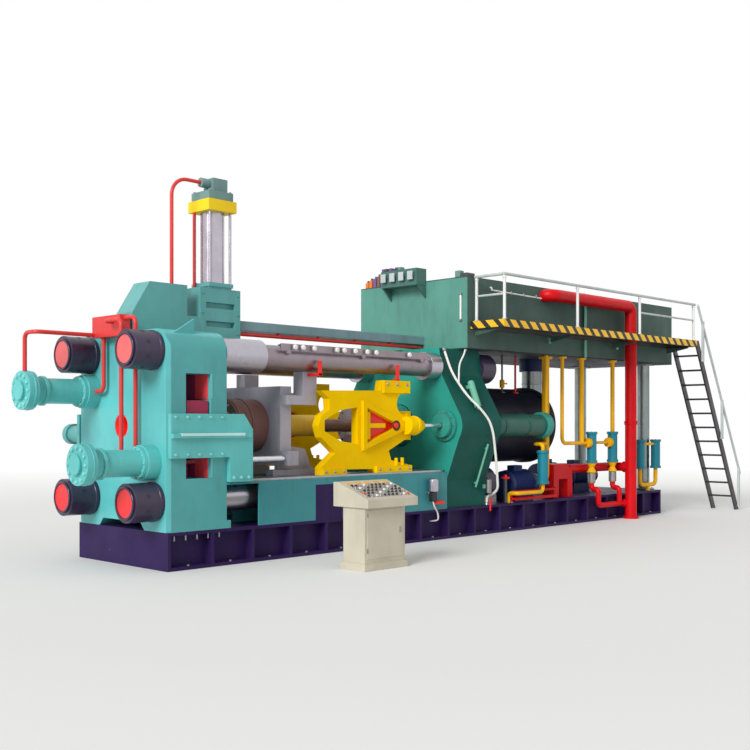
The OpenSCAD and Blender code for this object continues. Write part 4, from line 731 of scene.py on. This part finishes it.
# Cylinders: flange bolts, gland rings and bands of the side cylinders
p = Piece("cylinder_bolts", "frame", ZINC, "bright_steel")
main_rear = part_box("main_cylinder")[1][0]
side_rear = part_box("side_cylinders")[1][0]
p.bolts_round((CYL_REAR + 0.160, 0, AXIS), X, 1.290, 24, 0.028)
p.bolts_round((main_rear, 0, AXIS), X, 1.120, 20, 0.026)
for side in BOTH:
    y = side*SIDE_Y
    p.bolts_round((CYL_FRONT - 0.045, y, AXIS), -X, 0.392, 10, 0.014)
    p.ring((CYL_FRONT - 0.100, y, AXIS), (CYL_FRONT - 0.076, y, AXIS), 0.352, 0.338, 40, 0.003, GREEN)
    p.bolts_round((side_rear, y, AXIS), X, 0.330, 10, 0.018)
    for x in (CYL_REAR + 0.30, CYL_REAR + 0.90):
        p.ring((x, y, AXIS), (x + 0.050, y, AXIS), 0.360, 0.338, 40, 0.004, DEEP_GREEN)
p.done()

# Walkway: banded edges, post plates, brackets on the tank wall
deck_low, deck_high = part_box("walkway_deck")
post_x = steps(deck_low[0] + 0.060, deck_high[0] - 0.060, 4)
p = Piece("walkway_bands", "frame", HAZARD, "yellow_paint")
p.box((deck_low[0] - 0.004, deck_low[1] - 0.004, deck_low[2] + 0.004),
      (deck_high[0], deck_low[1] + 0.002, deck_high[2] - 0.004), 0.001)
p.box((deck_low[0] - 0.005, deck_low[1] + 0.002, deck_low[2] + 0.004),
      (deck_low[0] + 0.002, deck_high[1] - 0.002, deck_high[2] - 0.004), 0.001)
p.done()

p = Piece("post_plates", "frame", WHITE, "white_paint")
posts = [(x, deck_low[1] + 0.040) for x in post_x]
for x, y in posts + [(deck_low[0] + 0.060, deck_high[1] - 0.060)]:
    p.ring((x, y, deck_high[2]), (x, y, deck_high[2] + 0.012), 0.074, 0.044, 20, 0.002)
    p.ring((x, y, deck_high[2] + 0.590), (x, y, deck_high[2] + 0.620), 0.056, 0.044, 20, 0.003)
    for i in BOTH:
        p.bolt((x + i*0.030, y + 0.012, deck_high[2] + 0.012), Z, 0.004, ZINC)
p.done()

# The tank's seam strips and lid weld belong to the same piece as the brackets
wall_y, far_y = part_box("tank_walls")[0][1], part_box("tank_walls")[1][1]
seam_1, seam_2 = 2.790, 2.850
# The brackets take the tank's painted-shade paint, so they sink into the shade under the walkway.
p = Piece("walkway_brackets", "frame", TANK, "tank_paint")
tip_y, under = deck_low[1] + 0.14, deck_low[2]
for x in post_x:
    p.plate([(wall_y, under), (tip_y, under), (tip_y, under - 0.02), (wall_y, under - 0.10)],
            "x", x - 0.008, x + 0.008)
for z1, z2 in ((TANK_UNDER + 0.004, under), (deck_high[2], TANK_TOP - 0.004)):
    p.box((seam_1, wall_y - 0.014, z1), (seam_2, wall_y + 0.001, z2), 0.003, LIGHT_GREEN)
p.box((seam_1, far_y - 0.001, TANK_UNDER + 0.004), (seam_2, far_y + 0.014, TANK_TOP - 0.004),
      0.003, LIGHT_GREEN)
p.box((2.810, wall_y + 0.004, TANK_TOP - 0.001), (2.830, far_y - 0.004, TANK_TOP + 0.006), 0.002)
for x in (1.80, 3.78):
    p.box((x - 0.025, wall_y - 0.030, under - 0.110), (x + 0.025, wall_y + 0.001, under - 0.020),
          0.006, LIGHT_GREEN)
p.done()

# Tank: level glass, valve caps, small valves, a box and a strip on its lid
p = Piece("level_glass", "frame", IVORY, "white_paint")
p.box((TANK_X - 0.026, -0.860, 3.160), (TANK_X - 0.004, -0.830, 3.530), 0.005)
for z in (3.140, 3.520):
    p.box((TANK_X - 0.034, -0.866, z), (TANK_X + 0.001, -0.824, z + 0.030), 0.004, ZINC)
p.done()

bank_low, bank_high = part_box("tank_valve_bank")
bank_x, bank_top = bank_low[0], bank_high[2]
pitch = (bank_high[1] - bank_low[1])/4
p = Piece("valve_caps", "frame", RAIL, "white_paint")
for i in range(4):
    y = bank_low[1] + (i + 0.5)*pitch
    p.box((bank_x - 0.006, y - 0.052, TANK_TOP + 0.005), (bank_x + 0.012, y + 0.052, TANK_TOP + 0.135), 0.010)
    p.bolts_round((bank_x + 0.050, y, TANK_TOP + 0.070), -X, 0.142, 4, 0.008, ZINC, 0.78)
for y, look in ((0.21, TEAL_GREY), (0.27, IRON), (0.40, PURPLE), (0.49, IRON), (0.55, PURPLE)):
    p.box((bank_x + 0.06, y - 0.030, bank_top - 0.001), (bank_x + 0.16, y + 0.030, bank_top + 0.048),
          0.008, look)
for y, look, height in ((0.79, PURPLE, 0.160), (0.87, BROWN, 0.170), (0.95, PURPLE, 0.140),
                        (1.04, ORANGE, 0.120), (1.12, ORANGE, 0.090)):
    top = TANK_TOP + height
    p.box((TANK_X + 0.010, y - 0.032, TANK_TOP - 0.001), (TANK_X + 0.100, y + 0.032, top), 0.007, look)
    p.lathe((TANK_X + 0.055, y, top), Z, [(0.024, 0), (0.024, 0.026), (0.016, 0.036), (0.0, 0.036)], 16, IRON)
p.box((TANK_X + 0.02, -0.80, TANK_TOP - 0.001), (TANK_X + 0.12, -0.70, TANK_TOP + 0.100), 0.008, TEAL_GREY)
p.box((TANK_X + 0.02, -0.94, TANK_TOP - 0.001), (TANK_X + 0.20, -0.81, TANK_TOP + 0.055), 0.006, IRON)
p.done()

# Conduit along the tank wall, and the flexible ones down the cylinder crosshead
p = Piece("tank_conduit", "frame", IVORY, "white_paint")
p.tube([(0.30, wall_y + 0.002, 3.66), (0.30, wall_y - 0.030, 3.66), (0.30, wall_y - 0.030, 3.62),
        (1.55, wall_y - 0.030, 3.60), (1.55, wall_y + 0.002, 3.60)], 0.024, 0.02)
for x in steps(0.45, 1.40, 4):
    p.box((x - 0.010, wall_y - 0.046, 3.585), (x + 0.010, wall_y + 0.001, 3.640), 0.003, ZINC)
p.done()

p = Piece("flexible_conduit", "frame", IVORY, "grey_paint")
hose = [(-0.57, -0.83, 2.729), (-0.49, -0.92, 2.365), (-0.37, -1.105, 2.04), (-0.21, -1.24, 1.84),
        (-0.07, -1.28, 1.675), (0.01, -1.28, 1.50), (0.16, -1.22, 1.05), (0.30, -1.14, 0.65),
        (0.32, -0.91, 0.55), (0.32, -0.91, 0.43)]
short = [(-0.165, -0.900, 2.731), (-0.200, -0.905, 2.650), (-0.330, -0.920, 2.500), (-0.420, -0.990, 2.240)]
p.tube(hose, 0.036, 0.15, 14)
p.tube(short, 0.026, 0.10, 12)
p.lathe(hose[0], (0.21, -0.24, -0.95), [(0.030, 0), (0.030, 0.040), (0.022, 0.050)], 18, ZINC)
p.lathe(short[0], -Z, [(0.024, 0), (0.024, 0.030), (0.016, 0.038)], 16, ZINC)
p.lathe(hose[-1], Z, [(0.034, 0), (0.030, 0.030), (0.022, 0.040)], 18, ZINC)
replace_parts(p.done(), "conduit")

# Actuator, bar, small motor and red cock on the cylinder crosshead's near side
p = Piece("crosshead_fittings", "frame", LIGHT_GREEN, "pale_green_paint")
high, low = Vector((-0.126, -0.965, 2.250)), Vector((-0.220, -1.185, 1.880))
along = (low - high).normalized()
p.rod(high, low, 0.100, 28, 0.010)
p.rod(low, low + along*0.050, 0.060, 20, 0.006, ZINC)
for a in (0.22, 0.74):
    at = high.lerp(low, a)
    p.box(at + Vector((-0.062, -0.010, -0.025)), at + Vector((0.062, 0.085, 0.025)), 0.006)
bar_high, bar_low = Vector((0.040, -1.160, 1.344)), Vector((0.004, -0.955, 0.710))
p.rod(bar_high, bar_low, 0.032, 16, 0.005)
for a in (0.1, 0.9):
    at = bar_high.lerp(bar_low, a)
    p.box(at + Vector((-0.014, 0.0, -0.014)), at + Vector((0.014, 0.045, 0.014)), 0.003)
p.box((0.200, -1.000, 0.680), (0.250, -0.915, 0.740), 0.006)
x, y = 0.225, -1.020
p.rod((x, y, 0.610), (x, y, 0.820), 0.090, 24, 0.010, ZINC)
p.rod((x, y, 0.820), (x, y, 0.850), 0.060, 20, 0.006, IRON)
p.box((0.330, -0.968, 0.340), (0.360, -0.948, 0.500), 0.006, BRIGHT_RED)
p.rod((0.345, -0.975, 0.490), (0.345, -0.985, 0.530), 0.030, 14, 0.006, BRIGHT_RED)
p.done()

# Lubricator on the bed's near flank
bed_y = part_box("machine_bed")[0][1]
p = Piece("lubricator", "frame", BRIGHT, "bright_steel")
p.box((-1.075, bed_y - 0.050, 0.660), (-0.985, bed_y + 0.001, 0.700), 0.005)
p.lathe((-1.030, bed_y - 0.090, 0.690), Z,
        [(0.0, 0), (0.060, 0), (0.076, 0.012), (0.076, 0.160), (0.060, 0.184), (0.030, 0.192), (0.0, 0.192)],
        32)
p.box((-1.075, bed_y - 0.130, 0.560), (-0.985, bed_y - 0.040, 0.690), 0.012, RUBBER)
p.box((-1.000, bed_y - 0.110, 0.515), (-0.800, bed_y - 0.050, 0.560), 0.010, BRIGHT_RED)
p.box((-0.900, bed_y - 0.060, 0.520), (-0.840, bed_y + 0.001, 0.555), 0.005, BRIGHT_RED)
p.tube([(-1.03, bed_y - 0.085, 0.565), (-1.00, bed_y - 0.085, 0.48), (-0.90, bed_y - 0.060, 0.40),
        (-0.86, bed_y - 0.040, 0.28), (-0.86, bed_y + 0.130, 0.26)], 0.022, 0.06, 10, IVORY)
p.done()

# Pump sets: fins, terminal boxes, feet bolts and pump flanges
p = Piece("motor_fins", "frame", BLUE, "blue_paint")
MOTORS = ((TANK_X + 1.140, -0.730), (TANK_X + 3.840, 0.0), (TANK_X + 3.840, 0.600))
shaft = BASE_TOP + 0.270
for x0, y0 in MOTORS:
    for x in steps(x0 + 0.090, x0 + 0.480, 12):
        p.ring((x, y0, shaft), (x + 0.010, y0, shaft), 0.444, 0.418, 40, 0.002)
    p.ring((x0 + 0.530, y0, shaft), (x0 + 0.560, y0, shaft), 0.450, 0.418, 40, 0.005)
    p.lathe((x0, y0, shaft), -X,
            [(0.200, -0.01), (0.195, 0.006), (0.120, 0.020), (0.050, 0.022), (0.0, 0.022)], 36)
    p.box((x0 + 0.190, y0 - 0.075, shaft + 0.190), (x0 + 0.400, y0 + 0.075, shaft + 0.290), 0.010)
    for i in BOTH:
        for x in (x0 + 0.10, x0 + 0.50):
            p.bolt((x, y0 + i*0.150, shaft - 0.105), Z, 0.010, ZINC)
    p.ring((x0 + 0.600, y0, shaft), (x0 + 0.630, y0, shaft), 0.330, 0.258, 36, 0.005, GREY)
    p.bolts_round((x0 + 0.630, y0, shaft), X, 0.296, 8, 0.010, ZINC)
    p.ring((x0 + 0.780, y0, shaft), (x0 + 0.810, y0, shaft), 0.290, 0.258, 36, 0.005, GREY)
p.done()

# Valves: flange bolts, collars of the pipes under the tank, coupling sleeves and a hand wheel
p = Piece("valve_fasteners", "frame", ZINC, "bright_steel")
VALVES = [(TANK_X + 3.340, PIPE_Y, 0.980), (TANK_X + 3.990, PIPE_Y, 0.980), (TANK_X + 4.900, PIPE_Y, 0.830),
          (TANK_X + 5.440, PIPE_Y, 0.830), (TANK_X + 1.710, -1.07, 0.700)]
for x, y, z in VALVES:
    p.bolts_round((x, y, z + 0.040), Z, 0.180, 6, 0.006)
    p.bolts_round((x, y, z + 0.520), Z, 0.140, 6, 0.008)
for x in (TANK_X + 2.480, TANK_X + 3.040, TANK_X + 3.990):
    p.ring((x, PIPE_Y, TANK_UNDER - 0.030), (x, PIPE_Y, TANK_UNDER), 0.150, 0.050, 28, 0.004, PIPE_YELLOW)
    p.bolts_round((x, PIPE_Y, TANK_UNDER - 0.030), -Z, 0.118, 6, 0.007)
x, y = TANK_X + 2.260, -0.73
p.ring((x, y, TANK_UNDER - 0.040), (x, y, TANK_UNDER), 0.220, 0.118, 32, 0.005, PIPE_YELLOW)
for x, y, z in VALVES[:2]:
    p.ring((x, y, z - 0.335), (x, y, z - 0.168), 0.130, 0.112, 28, 0.005)
wheel_x, wheel_z = 0.79, 0.800
p.rod((wheel_x, PIPE_Y, BASE_TOP), (wheel_x, PIPE_Y, wheel_z), 0.050, 20, 0.004, IRON)
p.ring((wheel_x, PIPE_Y, wheel_z), (wheel_x, PIPE_Y, 0.830), 0.130, 0.040, 28, 0.010, BRIGHT_RED)
p.lathe((wheel_x, PIPE_Y, wheel_z), Z,
        [(0.026, -0.01), (0.026, 0.050), (0.018, 0.062), (0.0, 0.064)], 16, BRIGHT_RED)
p.done()

# Coupling of the return pipe, sleeve and rings of the prefill valve
p = Piece("pipe_flanges", "frame", PIPE_RED, "red_paint")
drop_x, drop_y = TANK_X + 4.240, -HALF_W - 0.160
for z1, z2 in ((1.620, 1.650), (1.653, 1.683)):
    p.ring((drop_x, drop_y, z1), (drop_x, drop_y, z2), 0.232, 0.198, 40, 0.004)
fill_low, fill_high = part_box("prefill_valve")
fill_x, fill_d = (fill_low[0] + fill_high[0])/2, fill_high[0] - fill_low[0]
p.ring((fill_x, 0, TANK_UNDER - 0.205), (fill_x, 0, TANK_UNDER - 0.002),
       fill_d + 0.012, fill_d - 0.004, 48, 0.006, BLUE)
p.bolts_round((fill_x, 0, TANK_UNDER - 0.200), -Z, 0.384, 12, 0.010, ZINC)
for z in (2.10, 2.30):
    p.ring((fill_x, 0, z), (fill_x, 0, z + 0.030), 0.354, 0.338, 48, 0.004, ZINC)
p.done()

# Two pipes from the filter unit along the base's edge
p = Piece("filter_pipes", "frame", PIPE_RED, "red_paint")
foot_x, foot_y, edge_y = 0.925, -0.91, -0.985
upper_z, lower_z = 0.600, 0.490
p.tube([(foot_x, foot_y, BASE_TOP - 0.001), (foot_x, foot_y, upper_z), (foot_x, edge_y, upper_z),
        (2.00, edge_y, upper_z), (2.152, -0.80, upper_z)], 0.036, 0.03, 14)
p.tube([(foot_x, foot_y, lower_z), (0.990, edge_y, lower_z), (2.00, edge_y, lower_z),
        (2.152, -0.80, lower_z)], 0.050, 0.04, 14)
p.ring((foot_x, foot_y, BASE_TOP - 0.001), (foot_x, foot_y, BASE_TOP + 0.014), 0.070, 0.030, 24, 0.003, ZINC)
p.done()

# Thin pipes from the tank down to the main cylinder, one with a yellow cock
p = Piece("bleed_pipes", "frame", IRON, "dark_steel")
cock_x, red_x, bleed_y, bleed_z = 1.48, 1.83, -0.300, AXIS + 0.512
p.tube([(cock_x, bleed_y, TANK_UNDER + 0.001), (cock_x, bleed_y, bleed_z)], 0.032, 0.06, 14)
p.rod((cock_x, bleed_y, bleed_z), (cock_x, bleed_y, bleed_z + 0.030), 0.110, 24, 0.006)
p.rod((cock_x, bleed_y, bleed_z + 0.090), (cock_x, bleed_y, bleed_z + 0.220), 0.080, 20, 0.008, PIPE_YELLOW)
p.box((1.40, bleed_y - 0.050, bleed_z + 0.145), (1.56, bleed_y - 0.036, bleed_z + 0.168), 0.004, PIPE_YELLOW)
p.tube([(red_x, bleed_y, TANK_UNDER + 0.001), (red_x, bleed_y, bleed_z)], 0.036, 0.06, 14, RED)
p.rod((red_x, bleed_y, bleed_z), (red_x, bleed_y, bleed_z + 0.030), 0.110, 24, 0.006, RED)
p.done()

# Console: buttons and plates on the sloped desk, then door, lock, hinges and louvres
desk_low, desk_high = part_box("console_panel")
cab_low, cab_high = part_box("console_cabinet")
DESK_FOOT = 0.800
rise = (desk_high[2] - DESK_FOOT)/(desk_high[1] - 0.060 - desk_low[1])
up = Vector((0, -rise, 1)).normalized()


def on_desk(u, v):
    """Point on the sloped desk, from its low corner on the press's front side."""
    return Vector((desk_low[0] + u, desk_low[1] + v, DESK_FOOT + rise*v))


BUTTONS = (RUBBER, RUBBER, ZINC, RUBBER, IVORY, RUBBER, ZINC)
RED_BUTTONS = ((0, 10), (1, 0))  # row and place in the row
p = Piece("console_buttons", "frame", RUBBER, "black_paint")
for row, v in enumerate(steps(0.080, 0.350, 5)):
    for i, u in enumerate(steps(0.090, 0.730, 11)):
        at = on_desk(u, v)
        p.lathe(at, up, [(0.022, -0.002), (0.022, 0.005), (0.017, 0.007)], 18, ZINC)
        look = BRIGHT_RED if (row, i) in RED_BUTTONS else BUTTONS[(2*i + 3*row) % len(BUTTONS)]
        p.lathe(at, up, [(0.016, 0.005), (0.016, 0.020), (0.012, 0.024), (0.0, 0.024)], 16, look)
for u in steps(0.110, 0.700, 5):
    at = on_desk(u, 0.430)
    p.box(at + Vector((-0.045, -0.028, -0.012)), at + Vector((0.045, 0.028, 0.008)), 0.004, AMBER,
          Matrix.Rotation(math.atan(rise), 3, "X"))
p.done()

p = Piece("console_trim", "frame", BEIGE, "beige_paint")
door_y = -2.475
p.box((cab_low[0] + 0.065, door_y - 0.004, 0.130), (cab_high[0] - 0.065, door_y + 0.002, 0.680), 0.002)
p.box((cab_high[0] - 0.120, door_y - 0.012, 0.400), (cab_high[0] - 0.095, door_y - 0.003, 0.470), 0.004, ZINC)
for z in (0.20, 0.60):
    p.box((cab_low[0] + 0.060, door_y - 0.010, z), (cab_low[0] + 0.075, door_y - 0.002, z + 0.050),
          0.003, ZINC)
for z in steps(0.25, 0.55, 7):
    p.box((cab_high[0] - 0.027, cab_low[1] + 0.10, z), (cab_high[0] - 0.022, cab_high[1] - 0.10, z + 0.012),
          0.001, RUBBER)
p.done()

# Camera at the photograph's place
EYE = (-12.02, -10.74, 1.65)
HEADING = 44.6  # degrees from +X
camera_data = bpy.data.cameras.new("photo_camera")
camera = bpy.data.objects.new("photo_camera", camera_data)
bpy.context.scene.collection.objects.link(camera)
camera.location = EYE
camera.rotation_euler = (math.radians(90), 0, math.radians(HEADING - 90))
camera_data.lens = 50.5
camera_data.sensor_width = 36.0
camera_data.shift_y = 0.064
camera_data.clip_end = 300.0
bpy.context.scene.camera = camera

# Floor, which fades into the white backdrop
FLOOR_RADIUS = 90.0
FADE_FROM, FADE_TO = 9.0, 24.0
floor_bm = bmesh.new()
bmesh.ops.create_circle(floor_bm, cap_ends=True, segments=96, radius=FLOOR_RADIUS)
floor_mesh = bpy.data.meshes.new("floor")
floor_bm.to_mesh(floor_mesh)
floor_bm.free()
floor = bpy.data.objects.new("floor", floor_mesh)
bpy.context.scene.collection.objects.link(floor)
g = Graph("pale_floor")
away = g.node("ShaderNodeVectorMath", operation="LENGTH")
g.link(g.coords, away.inputs[0])
fade = g.span(away.outputs["Value"], FADE_FROM, FADE_TO)
path = g.node("ShaderNodeLightPath")
seen = g.math("MAXIMUM", path.outputs["Is Camera Ray"], path.outputs["Is Glossy Ray"])
seen = g.math("MAXIMUM", seen, path.outputs["Is Transmission Ray"])
g.set(Base_Color=srgb(238, 238, 236), Roughness=0.9)
glow = g.node("ShaderNodeEmission")
glow.inputs["Color"].default_value = (1, 1, 1, 1)
blend = g.node("ShaderNodeMixShader")
g.link(g.math("MULTIPLY", fade, seen), blend.inputs[0])
g.link(g.shader.outputs["BSDF"], blend.inputs[1])
g.link(glow.outputs["Emission"], blend.inputs[2])
g.link(blend.outputs["Shader"], g.out.inputs["Surface"])
floor_mesh.materials.append(g.material)

# White backdrop that lights the part with less than it shows, and a soft key light
LIGHT_GIVEN, LIGHT_SHOWN = 0.54, 1.0
world = bpy.data.worlds.new("studio")
world.use_nodes = True
bpy.context.scene.world = world
tree = world.node_tree
back = tree.nodes["Background"]
back.inputs["Color"].default_value = (1, 1, 1, 1)
ray = tree.nodes.new("ShaderNodeLightPath")
shown = tree.nodes.new("ShaderNodeMath")
shown.operation = "MAXIMUM"
tree.links.new(ray.outputs["Is Camera Ray"], shown.inputs[0])
mirrored = tree.nodes.new("ShaderNodeMath")
mirrored.operation = "MAXIMUM"
tree.links.new(ray.outputs["Is Glossy Ray"], mirrored.inputs[0])
tree.links.new(ray.outputs["Is Transmission Ray"], mirrored.inputs[1])
tree.links.new(mirrored.outputs["Value"], shown.inputs[1])
level = tree.nodes.new("ShaderNodeMapRange")
level.inputs["To Min"].default_value = LIGHT_GIVEN
level.inputs["To Max"].default_value = LIGHT_SHOWN
tree.links.new(shown.outputs["Value"], level.inputs["Value"])
tree.links.new(level.outputs["Result"], back.inputs["Strength"])

SUN_WAY = Vector((0.90, 0.24, -0.50))
sun_data = bpy.data.lights.new("key", "SUN")
sun_data.energy = 2.4
sun_data.angle = math.radians(25)
sun = bpy.data.objects.new("key", sun_data)
bpy.context.scene.collection.objects.link(sun)
sun.rotation_euler = SUN_WAY.to_track_quat("-Z", "Y").to_euler()

bpy.context.scene.view_settings.view_transform = "Standard"
